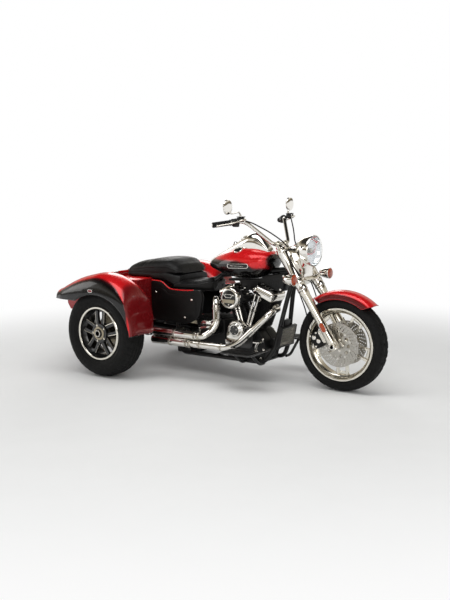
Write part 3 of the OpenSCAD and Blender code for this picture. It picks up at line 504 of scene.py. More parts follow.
def make_studio():
    """White floor that has no end, a wide lamp overhead and softer ones at the sides."""
    data = bpy.data.meshes.new("studio_floor")
    half = 40
    data.from_pydata([(-half, -half, 0), (half, -half, 0), (half, half, 0), (-half, half, 0)], [],
                     [(0, 1, 2, 3)])
    floor = bpy.data.objects.new("studio_floor", data)
    scene.collection.objects.link(floor)
    data.materials.append(floor_paper())
    for name, place, size, power in (("lamp_above", (0.6, -1.0, 4.2), (4.5, 2.2), 95),
                                     ("lamp_right", (3.4, -4.6, 2.6), (2.4, 2.4), 62),
                                     ("lamp_left", (-3.0, 4.2, 3.0), (3.0, 2.0), 60),
                                     ("lamp_rear", (-4.6, -2.6, 2.4), (2.0, 2.0), 30)):
        lamp = bpy.data.lights.new(name, "AREA")
        lamp.shape = "RECTANGLE"
        lamp.size, lamp.size_y = size
        lamp.energy = power
        holder = bpy.data.objects.new(name, lamp)
        scene.collection.objects.link(holder)
        holder.matrix_world = aim(place, Vector(place) - Vector((0, 0, 0.5)))
    world = bpy.data.worlds.new("studio")
    scene.world = world
    world.use_nodes = True
    tree = world.node_tree
    tree.nodes.clear()
    rays = add(tree, "LightPath")
    glossy = rays.outputs["Is Glossy Ray"]
    seen = add(tree, "Math", {"operation": "MAXIMUM"}, {0: rays.outputs["Is Camera Ray"],
                                                        1: rays.outputs["Is Transmission Ray"]}).outputs[0]
    # plated parts mirror a white horizon and a darker room overhead
    up = add(tree, "SeparateXYZ", None, {0: add(tree, "TexCoord").outputs["Generated"]}).outputs["Z"]
    ramp = add(tree, "ValToRGB", None, {"Fac": up})
    stops = ramp.color_ramp.elements
    stops[0].position, stops[0].color = 0.06, (1, 1, 1, 1)
    stops[1].position, stops[1].color = 0.85, linear("#242426")
    for where, code in ((0.11, "#5A5246"), (0.24, "#8F8570"), (0.34, "#F2EFE8"), (0.5, "#A49A86"),
                        (0.62, "#3A3834")):
        stops.new(where).color = linear(code)
    mirrored = add(tree, "Background", None, {"Color": ramp.outputs[0], "Strength": 1.0})
    shown = add(tree, "Background", None, {"Color": (1, 1, 1, 1), "Strength": 1.0})
    lit = add(tree, "Background", None, {"Color": linear("#F2F3F5"), "Strength": 0.42})
    behind = add(tree, "MixShader", None, {0: glossy, 1: lit.outputs[0], 2: mirrored.outputs[0]})
    mixed = add(tree, "MixShader", None, {0: seen, 1: behind.outputs[0], 2: shown.outputs[0]})
    add(tree, "OutputWorld", None, {"Surface": mixed.outputs[0]})
    scene.view_settings.view_transform = "Standard"


make_studio()

# ---- wheels ----

FRONT = (1016, 319)
REAR = (-654, 324)
WHEEL_Y = 540
LEG_Y = 118  # fork leg, from the middle
STEM_U = -50  # steering stem, behind the line of the legs
RAKE = math.radians(33.5)
LID_HINGE = (-798, 731)
SIDES = (("right", -1), ("left", 1))


def tyre(outer, width, seat, pitch, groove, rows):
    """Tyre about Z: rounded crown with two rain grooves, and slots that slant across the shoulders.

    pitch is how many steps go round for each slot, groove the depth, rows the grooves' places."""
    high = outer - seat
    steps = pitch * int(math.tau * outer / pitch / 7)
    profile = [(seat, width * 0.36), (seat + 10, width * 0.36), (seat + high * 0.22, width * 0.44),
               (seat + high * 0.3, width * 0.46), (seat + high * 0.33, width * 0.473),
               (seat + high * 0.36, width * 0.468)]
    crown = [(seat + high * (0.45 + 0.55 * math.sin(a) ** 0.75),
              width / 2 * math.copysign(abs(math.cos(a)) ** 0.8,
              math.cos(a)), a) for a in (math.pi * (k + 0.5) / 52 for k in range(52))]
    rim = [(r, h, 0) for r, h in profile]
    section = rim + crown + [(r, -h, 0) for r, h, _ in rim[::-1]] + [rim[0]]
    points = []
    for i in range(steps):
        for j, (r, h, a) in enumerate(section):
            slot = across = 0.0
            if a:
                t = abs(h) / (width / 2)
                across = 0.42 * (t - 0.3) * math.copysign(1, h) * pitch
                slot = groove if i % pitch in (0, 1) and 0.34 < t < 0.86 else 0
                slot = max(slot, groove if any(abs(t - row) < 0.03 for row in rows) else 0)
            angle = math.tau * (i + across + (pitch / 2 if h < 0 else 0)) / steps
            points.append(((r - slot) * math.cos(angle), (r - slot) * math.sin(angle), h))
    n = len(section)
    faces = [[i * n + j, (i + 1) % steps * n + j, (i + 1) % steps * n + j + 1, i * n + j + 1]
             for i in range(steps) for j in range(n - 1)]
    return points, faces


def spoke(y, start, end, wide, thick):
    """Tapered spoke up local X, dished at its outer end, with its face toward local Z."""
    rings = []
    for t in (0, 0.15, 0.4, 0.7, 0.9, 1):
        x = start + (end - start) * t
        w = wide * (1.25 - 0.45 * math.sin(math.pi * min(1, t * 1.1) / 1.2)) / 2
        d = thick * (1.15 - 0.3 * t) / 2
        rings.append([(x, a * w, y + b * d) for a, b in fillet([(-1, -1), (1, -1), (1, 1), (-1, 1)], 0.35,
                                                               2)])
    return skin(rings)


def rim(piece, centre, radius, width):
    """Barrel with rolled lips."""
    half = width * 0.36
    piece.add(lathe([(radius - 22, -half * 0.6), (radius - 10, -half * 0.9), (radius - 8, -half - 6),
                     (radius - 4, -half - 8), (radius + 6, -half - 8), (radius + 9, -half - 5),
                     (radius + 9, -half - 1), (radius, -half - 1), (radius - 1, half + 1),
                     (radius + 9, half + 1), (radius + 9, half + 5), (radius + 6, half + 8),
                     (radius - 4, half + 8), (radius - 8, half + 6), (radius - 10, half * 0.9),
                     (radius - 22, half * 0.6), (radius - 29, half * 0.5), (radius - 29, -half * 0.5),
                     (radius - 22, -half * 0.6)], 96), centre)


def front_wheel():
    at = along_y(*FRONT)
    rubber = Piece("front_tyre_rubber", "front_wheel", [tyre_rubber], ["front_tyre"], "tyre_rubber")
    rubber.add(tyre(319, 130, 241, 9, 4.5, (0.12,)), at).done(50)
    wheel = Piece("front_cast_rim", "front_wheel", [polished_alloy, black_alloy], ["front_rim"],
                  "polished_alloy")
    rim(wheel, at, 241, 130)
    for i in range(5):
        for s in (-1, 1):
            way = at @ turn("Z", 72 * i + 17) @ move(0, 21 * s, 0) @ turn("Z", 4.5 * s)
            wheel.add(spoke(0, 40, 217, 20, 26), way)
        # web that joins each pair of spokes near the rim
        wheel.add(plate(fillet([(186, -33), (216, -40), (216, 40), (186, 33)], 8), 10, 2),
                  at @ turn("Z", 72 * i + 17))
    wheel.add(lathe([(12.6, -60), (40, -60), (44, -54), (44, -40), (62, -26), (64, 0), (62, 26), (44, 40),
                     (44, 54), (40, 60), (12.6, 60), (12.6, -60)], 64), at)
    wheel.done(35, 1.2)
    discs = Piece("front_brake_rotors", "front_wheel", [ground_steel, black_alloy, plated_chrome],
                  ["front_discs"],
                  "steel")
    holes = [circle(4.2, x, y, 10) for row, r in enumerate((102, 114, 126, 138))
             for x, y in circle(r, n=30, first=row / 4)]
    windows = [circle(13, x, y, 20) for x, y in circle(76, n=10)]
    for s in (-1, 1):
        side = along_y(*FRONT, y=s * 62.8)
        discs.add(plate(circle(150, n=96), 5, 0.4, [circle(91, n=72), *holes]), side)
        discs.add(plate(circle(93, n=72), 6, 1, [circle(22, n=32), *windows]), side, 0)
        for x, y in circle(91, n=10, first=0.5):
            discs.add(drum(6, -4.5, 4.5, 16), side @ move(x, y, 0), 2)
        outer = along_y(*FRONT, y=s * 65.8) @ turn("X", 0 if s > 0 else 180)
        for x, y in circle(38, n=5):
            discs.add(bolt(6), outer @ move(x, y, 0), 2)
    discs.done(30)


def rear_wheel(name, side):
    body = "rear_wheel_" + name
    at = along_y(*REAR, y=side * WHEEL_Y)
    face = at if side > 0 else at @ turn("X", 180)
    rubber = Piece(f"rear_tyre_rubber_{name}", body, [tyre_rubber], [f"rear_tyre_{name}"], "tyre_rubber")
    rubber.add(tyre(324, 205, 190, 8, 5, (0.14, 0.46)), at).done(50)
    wheel = Piece(f"rear_cast_rim_{name}", body, [black_alloy, polished_alloy, satin_alloy],
                  [f"rear_rim_{name}"], "black_alloy")
    rim(wheel, face, 190, 205)
    # bright turned ring on the outer lip
    wheel.add(lathe([(181, 80.6), (183, 83.4), (194, 83.8), (198, 81), (199.6, 78), (181, 78),
                     (181, 80.6)], 96),
              face, 1)
    for i in range(5):
        for s in (-1, 1):
            way = face @ turn("Z", 72 * i + 90) @ move(0, 21 * s, 0) @ turn("Z", 4.5 * s)
            wheel.add(spoke(46, 45, 163, 28, 24), way)
            # machined edge line along each spoke
            wheel.add(pipe([(70, 12 * s, 58.5), (158, 11 * s, 56.2)], 1.7, sides=8), way, 1)
    wheel.add(lathe([(20.1, -64), (60, -64), (62, -30), (60, 20), (72, 40), (74, 56), (70, 70),
                     (20.1, 72), (20.1, -64)], 64), face)
    wheel.add(lathe([(34, 70), (48, 70), (50, 74), (46, 77), (36, 77), (33, 74), (34, 70)], 64), face, 2)
    wheel.add(lathe([(20.1, 71), (33, 71), (30, 75.5), (20.1, 76), (20.1, 71)], 48), face, 0)
    for x, y in circle(60, n=5, first=0.5):
        wheel.add(bolt(5.5), face @ move(x, y, 70), 1)
    holes = [circle(4.2, x, y, 10) for row, r in enumerate((90, 102, 114))
             for x, y in circle(r, n=28, first=row / 3)]
    wheel.add(plate(circle(128, n=96), 5, 0.4, [circle(58, n=48), *holes]), face @ move(0, 0, -62.5), 2)
    wheel.done(35, 1.0)


front_wheel()
for side_name, side_sign in SIDES:
    rear_wheel(side_name, side_sign)

# ---- bodywork ----

# rear fender, from the tail forward: x, crown height, outer and inner side
FENDER = [(-1062, 572, 614, 474), (-1059, 590, 622, 466), (-1047, 616, 646, 440), (-992, 648, 680, 412),
          (-900, 694, 697, 400.5), (-800, 732, 702, 400.5), (-700, 756, 705, 400.5),
          (-635, 768, 705, 400.5), (-560, 764, 705, 400.5), (-500, 748, 704, 400.5),
          (-450, 726, 702, 400.5), (-400, 692, 700, 400.5), (-365, 652, 697, 400.5),
          (-335, 600, 693, 402), (-310, 530, 688, 408), (-292, 460, 680, 422), (-283, 392, 670, 446),
          (-280, 343, 667, 452)]
ARCH = (-610, 341, 314, 281)


def outer_edge(x):
    """Height of the fender's outer edge: level at the tail, then round the wheel arch."""
    across = (x - ARCH[0]) / ARCH[2]
    arch = ARCH[1] + ARCH[3] * math.sqrt(max(0.0, 1 - across * across)) if abs(across) < 1 else ARCH[1]
    return max(arch, 568) if x < -790 else arch


def climb(y, z, low):
    """The part above low of a line that climbs from one side to the crown."""
    keep = z > low + 0.01
    return (np.concatenate(([np.interp(low, z, y)], y[keep])), np.concatenate(([low], z[keep])))


def fender_ring(x):
    """Section of the rear fender at one x, from the outer edge over the crown to the inner one."""
    _, top, outer, inner = station(FENDER, x)
    outer = min(outer, 704.5)
    mid = min(top - 40, 560)
    half, middle = (outer - inner) / 2, (outer + inner) / 2
    a = np.linspace(0, math.pi / 2, 60)
    rise = mid + (top - mid) * np.sin(a) ** (2 / 2.6)
    reach = half * np.cos(a) ** (2 / 2.6)
    z = np.concatenate(([200], rise))
    inner_low = 341 + 227 * soft_step(-790, -830, x) if x < -790 else 341
    in_y, in_z = climb(np.concatenate(([inner], middle - reach)), z, min(inner_low, top - 2))
    out_y, out_z = climb(np.concatenate(([outer], middle + reach)), z, min(outer_edge(x), top - 1.5))
    y = np.concatenate((out_y, in_y[::-1][1:]))
    z = np.concatenate((out_z, in_z[::-1][1:]))
    run = np.concatenate(([0], np.cumsum(np.hypot(np.diff(y), np.diff(z)))))
    even = np.linspace(0, run[-1], 56)
    return [(x, -b, c) for b, c in zip(np.interp(even, run, y), np.interp(even, run, z))]


def rear_fender(name, sign):
    xs = [*np.linspace(-1062, -1048, 5), *np.linspace(-1040, -815, 22), -805, -800]
    xs += [ARCH[0] + ARCH[2] * math.cos(math.radians(a)) for a in np.linspace(126.5, 0, 46)]
    xs += [-293, -289, -285, -282, -280]
    rings = [fender_ring(x) for x in xs]
    side = MIRROR if sign > 0 else PLAIN
    shell = Piece(f"rear_fender_skin_{name}", "chassis", [red_enamel], [f"rear_fender_{name}"],
                  "red_paint")
    shell.add(skin(rings, closed_rings=False), side)
    made = shell.done(50, thick=4, closed=False)
    # painted shade: faces that point outward turn black, faces that point forward or inward turn dark red
    shade(made, lambda p, n: max(soft_step(0.5, 0.86, n.y * sign) * soft_step(-290, -330, p.x),
                                 0.55 * soft_step(0.45, 0.8, n.x),
                                 0.45 * soft_step(0.35, 0.7, -n.y * sign)))
    # the black bead along the outer edge is painted shade; the fender's edge is body colour
    edge = [ring[0] for ring in rings][4:]
    trim = Piece(f"rear_fender_rolled_edge_{name}", "chassis", [black_enamel])
    trim.add(pipe([Vector(p) + Vector((0, 3.5, 0)) for p in edge], 3.4, reach=0, sides=10), side).done(60)


def lid_height(x):
    """Upper face of the boot lid."""
    line = [(-1182, 620), (-1152, 638), (-1062, 676), (-922, 718), (-802, 740)]
    return float(station(line, x)[1])


def panel(us, vs, top, bottom, keep=lambda i, j: True):
    """Closed panel over a grid of u and v; cells that keep refuses are left out."""
    n = len(vs)
    points = [top(u, v) for u in us for v in vs] + [bottom(u, v) for u in us for v in vs]
    under = len(us) * n
    cells = {(i, j) for i in range(len(us) - 1) for j in range(n - 1) if keep(i, j)}
    faces = []
    for i, j in sorted(cells):
        a, b, c, d = i * n + j, (i + 1) * n + j, (i + 1) * n + j + 1, i * n + j + 1
        faces += [[a, b, c, d], [under + d, under + c, under + b, under + a]]
        for (p, q), beside in (((a, b), (i, j - 1)), ((b, c), (i + 1, j)), ((c, d), (i, j + 1)),
                               ((d, a), (i - 1, j))):
            if beside not in cells:
                faces.append([q, p, under + p, under + q])
    return points, faces


def boot_lid():
    xs = [*np.linspace(-1182, -1150, 5), *np.linspace(-1130, -830, 17), -819, -803]
    ys = [-395, -390, -370, -330, -309, -231, -150, -60, 60, 150, 231, 309, 330, 370, 390, 395]
    notched = [j for j in range(len(ys) - 1) if ys[j] in (-309, 231)]

    def crowned(drop):
        return lambda x, y: (x, y, lid_height(x) - drop - 5 * (abs(y) / 395) ** 4)
    lid = Piece("boot_lid_panel", "trunk_lid", [red_enamel, plated_chrome, black_enamel], ["trunk_lid"],
                "red_paint")
    lid.add(panel(xs, ys, crowned(0), crowned(21), lambda i, j: not (i == len(xs) - 2 and j in notched)))
    # pull handle and lock at the back edge, and the knuckles on the hinge pins
    lid.add(pipe([(-1150, -70, 636), (-1170, -60, 642), (-1170, 60, 642), (-1150, 70, 636)], 5, reach=12),
            finish=1)
    lid.add(lathe([(0, 0), (13, 0), (13, 3), (11, 5), (6, 5), (5, 2), (0, 2)], 32),
            aim((-1120, 0, 651), (-0.42, 0, 1)), 1)
    for s in (-1, 1):
        lid.add(collar(4.1, 9, -21.6, 21.6, 32),
                along_y(*LID_HINGE, s * 270), 1)
        lid.add(block(34, 43, 9, 1.5), move(-816, s * 270, 729) @ turn("Y", -8), 1)
    made = lid.done(40, 2.5)
    # painted shade: the top stays red and every face that does not point up turns dark red
    shade(made, lambda p, n: 0.1 if n.z > 0.5 else 0.5)


def luggage_body():
    body = Piece("luggage_body_shell", "chassis", [red_enamel, black_enamel, plated_chrome],
                 ["rear_body"],
                 "red_paint")
    lower = [(x, lid_height(x) - 23.5) for x in np.linspace(-804, -1182, 14)]
    wall = [(-480, 400), (-480, 704), (-788, 704), (-788, 716), *lower, (-1191, 578), (-1191, 486),
            (-1161, 440), (-600, 440), (-600, 400)]
    for s in (-1, 1):
        body.add(plate(wall, 9.6, 2), upright(s * 395))
    # deck under the seat, the step up to the lid, floor, back and front walls
    body.add(block(316, 786, 10, 3), move(-638, 0, 699))
    body.add(block(14, 786, 20, 3), move(-795, 0, 706))
    body.add(block(12, 786, 256, 2), move(-804, 0, 570), 1)
    body.add(block(564, 786, 10, 2), move(-880, 0, 445), 1)
    back = panel([441, 452, 464, 476, 488, 520, 550, 577], [-395, -300, -150, 0, 150, 300, 395],
                 lambda z, y: (-1190 + max(0, 486 - z) * 0.66, y, z),
                 lambda z, y: (-1180 + max(0, 486 - z) * 0.66, y, z))
    body.add(back)
    body.add(block(22, 770, 9, 2), move(-1176, 0, 587) @ turn("Y", -31))
    for s in (-1, 1):
        body.add(block(9.6, 202, 190, 2), move(-475, s * 292, 475))
    body.add(block(9.6, 786, 132, 2), move(-475, 0, 636))
    # hinge lugs and their pins
    for s in (-1, 1):
        for y in (242.5, 297.5):
            body.add(drum(9, -4.4, 4.4, 32), along_y(*LID_HINGE, s * y), 2)
            body.add(block(14, 8.8, 18, 1), move(-797, s * y, 722), 2)
        body.add(drum(4, -31, 31, 24), along_y(*LID_HINGE, s * 270), 2)
    made = body.done(40, 1.5)
    # painted shade: faces that point forward, back or sideways turn dark red, the tops stay red
    shade(made, lambda p, n: max(0.55 * soft_step(0.4, 0.8, n.x), 0.5 * soft_step(0.5, 0.9, -n.x),
                                 0.45 * soft_step(0.5, 0.9, abs(n.y))))
    seal = Piece("boot_rubber_seal", "chassis", [moulded_rubber], slot="rubber")
    edge = [(x, -384, lid_height(x) - 24.5) for x in np.linspace(-812, -1160, 12)]
    seal.add(pipe(edge + [(x, 384, z) for x, _, z in edge[::-1]], 1.8, reach=8, sides=8)).done()


TANK = [(-62, 40, 832, 812, 796), (-20, 80, 858, 812, 782), (50, 120, 893, 806, 762),
        (130, 146, 922, 806, 740), (220, 160, 942, 815, 725), (310, 162, 947, 826, 725),
        (390, 152, 938, 842, 738), (440, 132, 922, 856, 765), (475, 100, 902, 866, 800),
        (500, 62, 888, 872, 838)]
CONSOLE = [(-62, 20, 846, 838, 828), (40, 34, 902, 886, 868), (150, 46, 962, 930, 905),
           (250, 62, 1020, 960, 925), (310, 66, 1048, 965, 930), (345, 62, 1046, 960, 932),
           (400, 52, 1000, 950, 925), (445, 36, 945, 930, 905)]


def fuel_tank():
    xs = [*np.linspace(-62, -54, 3), *np.linspace(-46, 484, 46), *np.linspace(488, 500, 5)]
    tank = Piece("fuel_tank_skin", "chassis", [red_enamel], ["fuel_tank"], "red_paint")
    rings = []
    for x in xs:
        _, half, top, mid, bottom = station(TANK, x)
        end = min(1, (1 - max(0, (x - 484) / 16) ** 2 * 0.55), 1 - max(0, (-54 - x) / 8) ** 2 * 0.5)
        middle = (top + bottom) / 2
        rings.append(superellipse(x, 0, half * end, middle + (top - middle) * end, mid,
                                  middle + (bottom - middle) * end, 2.2, 2.6, 64))
    made = tank.add(skin(rings)).done(60)
    shade(made, lambda p, n: max(soft_step(30, -14, p.z - 834 - 14 * soft_step(350, 250, p.x)
                                           + 34 * soft_step(330, 400, p.x)),
                                 soft_step(455, 492, p.x)))
    fittings = Piece("tank_fittings", "chassis", [plated_chrome, black_enamel], slot="chrome")
    for s in (-1, 1):
        # blank capsule badge and, under it, the welded seam
        badge = move(272, s * 161.5, 822) @ turn("X", 90) @ turn("Z", -2 * s if s < 0 else 2)
        fittings.add(plate(capsule(180, 17), 5, 1.2, [capsule(170, 12.5)]), badge)
        fittings.add(plate(capsule(172, 13), 2.6, 0.5), badge, 1)
        fittings.add(block(112, 3.4, 2.4, 0.8), move(266, s * 163.2, 822))
        cap = aim((232, s * 92, float(station(TANK, 232)[2]) - 21), (0.02, s * 0.5, 1))
        fittings.add(lathe([(0, 0), (31, 0), (33, 3), (33, 7), (29, 11), (12, 13.5), (0, 14)], 48), cap)
    fittings.done(35, 0.4)


def tank_console():
    xs = np.linspace(-62, 445, 60)
    console = Piece("console_shell", "chassis", [plated_chrome, satin_alloy], ["tank_console"], "chrome")
    rings = []
    for x in xs:
        _, half, top, mid, bottom = station(CONSOLE, x)
        rings.append(superellipse(x, 0, half, top, mid, bottom - 30, 2.4, 3, 56))
    console.add(skin(rings)).done(50)
    dial = Piece("console_instruments", "chassis", [plated_chrome, dial_face, moulded_plastic,
                                                    amber_lens],
                 slot="chrome")
    face = aim((246, 0, 1014), (-0.5, 0, 1))
    dial.add(lathe([(0, -12), (47, -12), (48, 0), (46, 6), (42, 7), (40, 3), (40, 0), (0, 0)], 64), face)
    dial.add(drum(39.5, 0.4, 0.8, 64), face, 1)
    for k in range(25):
        mark = face @ turn("Z", -120 + k * 10) @ move(0, 33, 1.1)
        dial.add(block(1.2 if k % 4 else 2.0, 5 if k % 4 else 8, 0.6, 0), mark, 2)
    dial.add(block(1.8, 34, 0.8, 0.2), face @ turn("Z", 95) @ move(0, 12, 1.8), 2)
    dial.add(lathe([(0, 0), (4, 0), (4, 3), (0, 3.6)], 24), face, 2)
    key = aim((150, 0, 958), (-0.5, 0, 1))
    dial.add(lathe([(0, 0), (20, 0), (21, 6), (17, 13), (6, 15), (0, 15)], 40), key)
    dial.add(block(26, 6, 10, 2), key @ move(0, 0, 18), 2)
    for y in (-12, 0, 12):
        dial.add(lathe([(0, 0), (4, 0), (3.4, 2), (0, 3)], 20), aim((190, y, 985.5), (-0.5, 0, 1)), 3)
    dial.done(35)


def side_covers():
    outline = [(-470, 690), (-366, 686), (-291, 632), (-178, 628), (-20, 640), (10, 600), (-20, 440),
               (-130, 385), (-420, 385), (-470, 430)]
    inset = [(-440, 640), (-360, 636), (-290, 594), (-60, 596), (-44, 450), (-140, 412), (-410, 412),
             (-440, 442)]
    cover = Piece("side_cover_panels", "chassis", [cover_shade_black, edge_highlight_red, plated_chrome], ["side_covers"],
                  "black_paint")
    for s in (-1, 1):
        place = upright(s * 217)
        # the panel and its raised field are black all over: painted shade
        cover.add(plate(fillet(outline, 26), 33, 6), place)
        # raised field that follows the outline
        cover.add(plate(fillet(inset, 22), 6, 2), upright(s * 233))
        # red bead along the top edge: painted highlight where the lit edge of the red cover shows its
        # colour
        edge = [(-462, s * 231.5, 690), (-366, s * 231.5, 686), (-291, s * 231.5, 633),
                (-178, s * 231.5, 629), (-70, s * 231.5, 636)]
        cover.add(pipe(edge, 4.2, reach=26, sides=12), finish=1)
        for x, z in ((-418, 604), (-84, 566), (-150, 432)):
            cover.add(bolt(6), aim((x, s * 235.5, z), (0, s, 0)), 2)
        for x in (-300, -150):
            cover.add(drum(9, 0, 66, 24), aim((x, s * 137, 600), (0, s, 0)))
    cover.done(35)


def front_fender():
    """Fender over the front wheel: it is turned round the axle, with rounded corners at both ends."""
    rings = []
    angles = np.linspace(49, 123, 64)
    for a in angles:
        end = min(a - 49, 123 - a)
        reach = 90 - 62 * (1 - soft_step(-1, 9, end)) ** 2
        way = math.radians(a)
        ring = []
        for k in range(33):
            t = math.radians(90 - reach + 2 * reach * k / 32)
            r = 309 + 55 * abs(math.sin(t)) ** 0.8
            y = 78 * math.copysign(abs(math.cos(t)) ** 0.7, math.cos(t))
            ring.append((1016 + r * math.cos(way), -y, 319 + r * math.sin(way)))
        rings.append(ring)
    skin_piece = Piece("front_fender_skin", "steering", [red_enamel], ["front_fender"], "red_paint")
    made = skin_piece.add(skin(rings[::-1], closed_rings=False)).done(50, thick=3.5, closed=False)
    # painted shade: the sides turn dark red and faces that point back turn a little darker than the top
    shade(made, lambda p, n: max(0.62 * soft_step(0.55, 0.95, abs(n.y)),
                                 0.35 * soft_step(-0.2, -0.5, n.x)))
    trim = Piece("front_fender_rolled_edge", "steering", [red_enamel, plated_chrome])
    for edge in ([r[0] for r in rings], [r[-1] for r in rings], rings[0], rings[-1]):
        trim.add(pipe(edge, 2.6, reach=0, sides=8))
    for s in (-1, 1):
        trim.add(block(60, 3, 34, 1), FORK @ move(-14, s * 79, 338), 1)
        for u in (-32, 4):
            trim.add(bolt(5), FORK @ aim((u, s * 80, 338), (0, s, 0)), 1)
    # painted shade: the rolled edge is held at dark red all over
    shade(trim.done(50), lambda p, n: 0.45)


# ---- padded seats ----

SETTLED = 20  # frames after which the cover lies still


def inflate(made, swell, cap):
    """Lets the cover of a padded piece swell over its foam and keeps what the cloth settles to."""
    fine = made.modifiers.new("even mesh", "REMESH")
    fine.mode = "VOXEL"
    fine.voxel_size = 6 * MM
    graph = bpy.context.evaluated_depsgraph_get()
    made.data = bpy.data.meshes.new_from_object(made.evaluated_get(graph))
    made.modifiers.clear()
    before = np.array([v.co for v in made.data.vertices])
    cloth = made.modifiers.new("cover", "CLOTH")
    cloth.settings.use_pressure = True
    cloth.settings.uniform_pressure_force = swell
    cloth.settings.quality = 4
    cloth.settings.effector_weights.gravity = 0
    cloth.point_cache.frame_start, cloth.point_cache.frame_end = 1, SETTLED
    for number in range(1, SETTLED + 1):
        scene.frame_set(number)
    graph = bpy.context.evaluated_depsgraph_get()
    after = np.array([v.co for v in made.evaluated_get(graph).data.vertices])
    made.modifiers.clear()
    scene.frame_set(1)
    shift = after - before
    far = np.linalg.norm(shift, axis=1, keepdims=True)
    shift *= np.minimum(1, cap * MM / np.maximum(far, 1e-9))
    made.data.vertices.foreach_set("co", (before + shift).astype(np.float32).ravel())
    made.data.update()


def seat_cushion(name, node, table, ups, bottom, seams):
    """Padded seat over stations of x, half width, top and widest height, with sewn channels across it.

    ups is how square its shoulders are. A seam is its x and how far it bends at the sides."""
    shrink = 3  # room left for the cover to swell
    xs = np.linspace(table[0][0], table[-1][0], 40)
    rings = []
    for x in xs:
        _, half, top, mid = station(table, x)
        end = min(1, (x - xs[0] + 6) / 40, (xs[-1] - x + 6) / 40) ** 0.5
        rings.append(superellipse(x, 0, (half - shrink) * (0.82 + 0.18 * end),
                                  mid + (top - shrink - mid) * end, mid,
                                  bottom(x) + 1, ups, 3.2, 64))
    made = Piece(name, "chassis", [seat_vinyl], [node], "seat_vinyl").add(skin(rings)).done(80)
    inflate(made, 4, 5)
    for v in made.data.vertices:
        x, y, _ = v.co / MM
        dip = sum(math.exp(-((x - a - b * (y / 200) ** 2) / 4.5) ** 2) for a, b in seams)
        if v.normal.z > 0.25:
            v.co.z -= 4.5 * MM * min(1, dip) * soft_step(0.25, 0.6, v.normal.z)
    finer = made.modifiers.new("smoothing", "SUBSURF")
    finer.levels = finer.render_levels = 1
    made.data.shade_smooth()
    # welt sewn round the widest line
    line = []
    for s in (-1, 1):
        for x in (xs[1:-1] if s < 0 else xs[1:-1][::-1]):
            _, half, top, mid = station(table, x)
            end = min(1, (x - xs[0] + 6) / 40, (xs[-1] - x + 6) / 40) ** 0.5
            line.append((x, s * ((half - shrink) * (0.82 + 0.18 * end) * 0.985 + 1),
                         mid + (top - mid) * 0.42 * end))
    welt = Piece(name + "_welt", "chassis", [seat_piping], slot="seat_vinyl")
    welt.add(pipe(line + [line[0]], 2.6, reach=4, sides=8)).done(80)


def seats():
    seat_cushion("rider_seat_cushion", "rider_seat",
                 [(-330, 188, 730, 650), (-290, 194, 712, 650), (-220, 190, 692, 650),
                  (-150, 178, 690, 650), (-90, 154, 698, 652), (-40, 122, 716, 656), (0, 90, 742, 664)],
                  3.0, lambda x: 617,
                 [(-255, 30), (-195, 30), (-135, 30)])
    seat_cushion("passenger_seat_cushion", "passenger_seat",
                 [(-774, 150, 742, 722), (-740, 190, 778, 728), (-680, 212, 808, 734),
                  (-573, 225, 830, 740), (-450, 225, 846, 745), (-380, 218, 846, 750),
                  (-332, 205, 838, 755), (-300, 194, 815, 750), (-262, 178, 785, 744),
                  (-240, 158, 752, 740)], 3.0,
                 lambda x: 705 + 30 * soft_step(-350, -330, x), [(-690, -20), (-620, -20), (-550, -20),
                                                                 (-480, -20)])


def seat_base():
    """Upholstered base under the passenger's cushion, down to the deck and the side covers."""
    table = [(-770, 148, 724), (-740, 184, 734), (-680, 206, 742), (-573, 219, 748), (-450, 219, 752),
             (-380, 214, 754), (-332, 203, 752), (-290, 192, 742), (-244, 170, 730)]
    foot = [(-482, 704.6), (-476, 690), (-366, 684), (-291, 640), (-244, 634)]
    rings = []
    for x in np.linspace(-770, -244, 54):
        _, half, top = station(table, x)
        low = 704.6 if x < -482 else float(np.interp(x, [p[0] for p in foot], [p[1] for p in foot]))
        rings.append(superellipse(x, 0, half, top, (top + low) / 2, low, 5, 5, 40))
    base = Piece("passenger_seat_base", "chassis", [seat_vinyl], slot="seat_vinyl")
    base.add(skin(rings)).done(60)


# fork frame on the front axle: local X forward of the legs, Z up along them
FORK = Matrix(((math.cos(RAKE), 0, -math.sin(RAKE), FRONT[0]), (0, 1, 0, 0),
               (math.sin(RAKE), 0, math.cos(RAKE), FRONT[1]), (0, 0, 0, 1)))

for side_name, side_sign in SIDES:
    rear_fender(side_name, side_sign)
luggage_body()
boot_lid()
fuel_tank()
tank_console()
side_covers()
front_fender()
seats()
seat_base()

# ---- engine ----

CRANK = (298, 262)
LEAN = 22.5


def on_cylinder(side):
    """Local Z runs up the cylinder from the crank; side is -1 for the rear one, 1 for the front one."""
    return move(CRANK[0], 0, CRANK[1]) @ turn("Y", side * LEAN)


def rounded_square(half, r):
    return fillet([(-half, -half), (half, -half), (half, half), (-half, half)], r, 8)


def crankcase():
    case = Piece("crankcase_halves", "chassis", [cast_black, machined, plated_chrome], ["crankcase"],
                 "engine_black")
    outline = [(120, 170), (140, 152), (440, 152), (460, 220), (450, 300), (398, 362), (298, 401),
               (198, 362), (120, 320)]
    for y, thick in ((-50, 94), (50, 94)):
        case.add(plate(fillet(outline, 18), thick, 5), upright(y))
    # joint flange between the halves, and ribs across the front and below
    flange = [(298 + (x - 298) * 1.02, 262 + (z - 262) * 1.035) for x, z in outline]
    case.add(plate(fillet(flange, 18), 9, 1), turn("X", 90))
    for k in range(5):
        case.add(block(5, 170, 60, 1.5), move(190 + 48 * k, 0, 158 + 22), 0)
    for x, z in ((135, 300), (132, 188), (170, 158), (300, 158), (428, 160), (452, 224), (446, 300)):
        for s in (-1, 1):
            case.add(bolt(6.5), aim((x + (8 if x < 200 else -8), s * 97, z + 6), (0, s, 0)), 2)
    # oil filter at the front
    case.add(lathe([(0, 0), (36, 0), (38, 4), (38, 60), (34, 68), (20, 72), (0, 72)], 48),
             aim((446, 0, 262), (1, 0, 0)))
    case.done(35, 0.6)


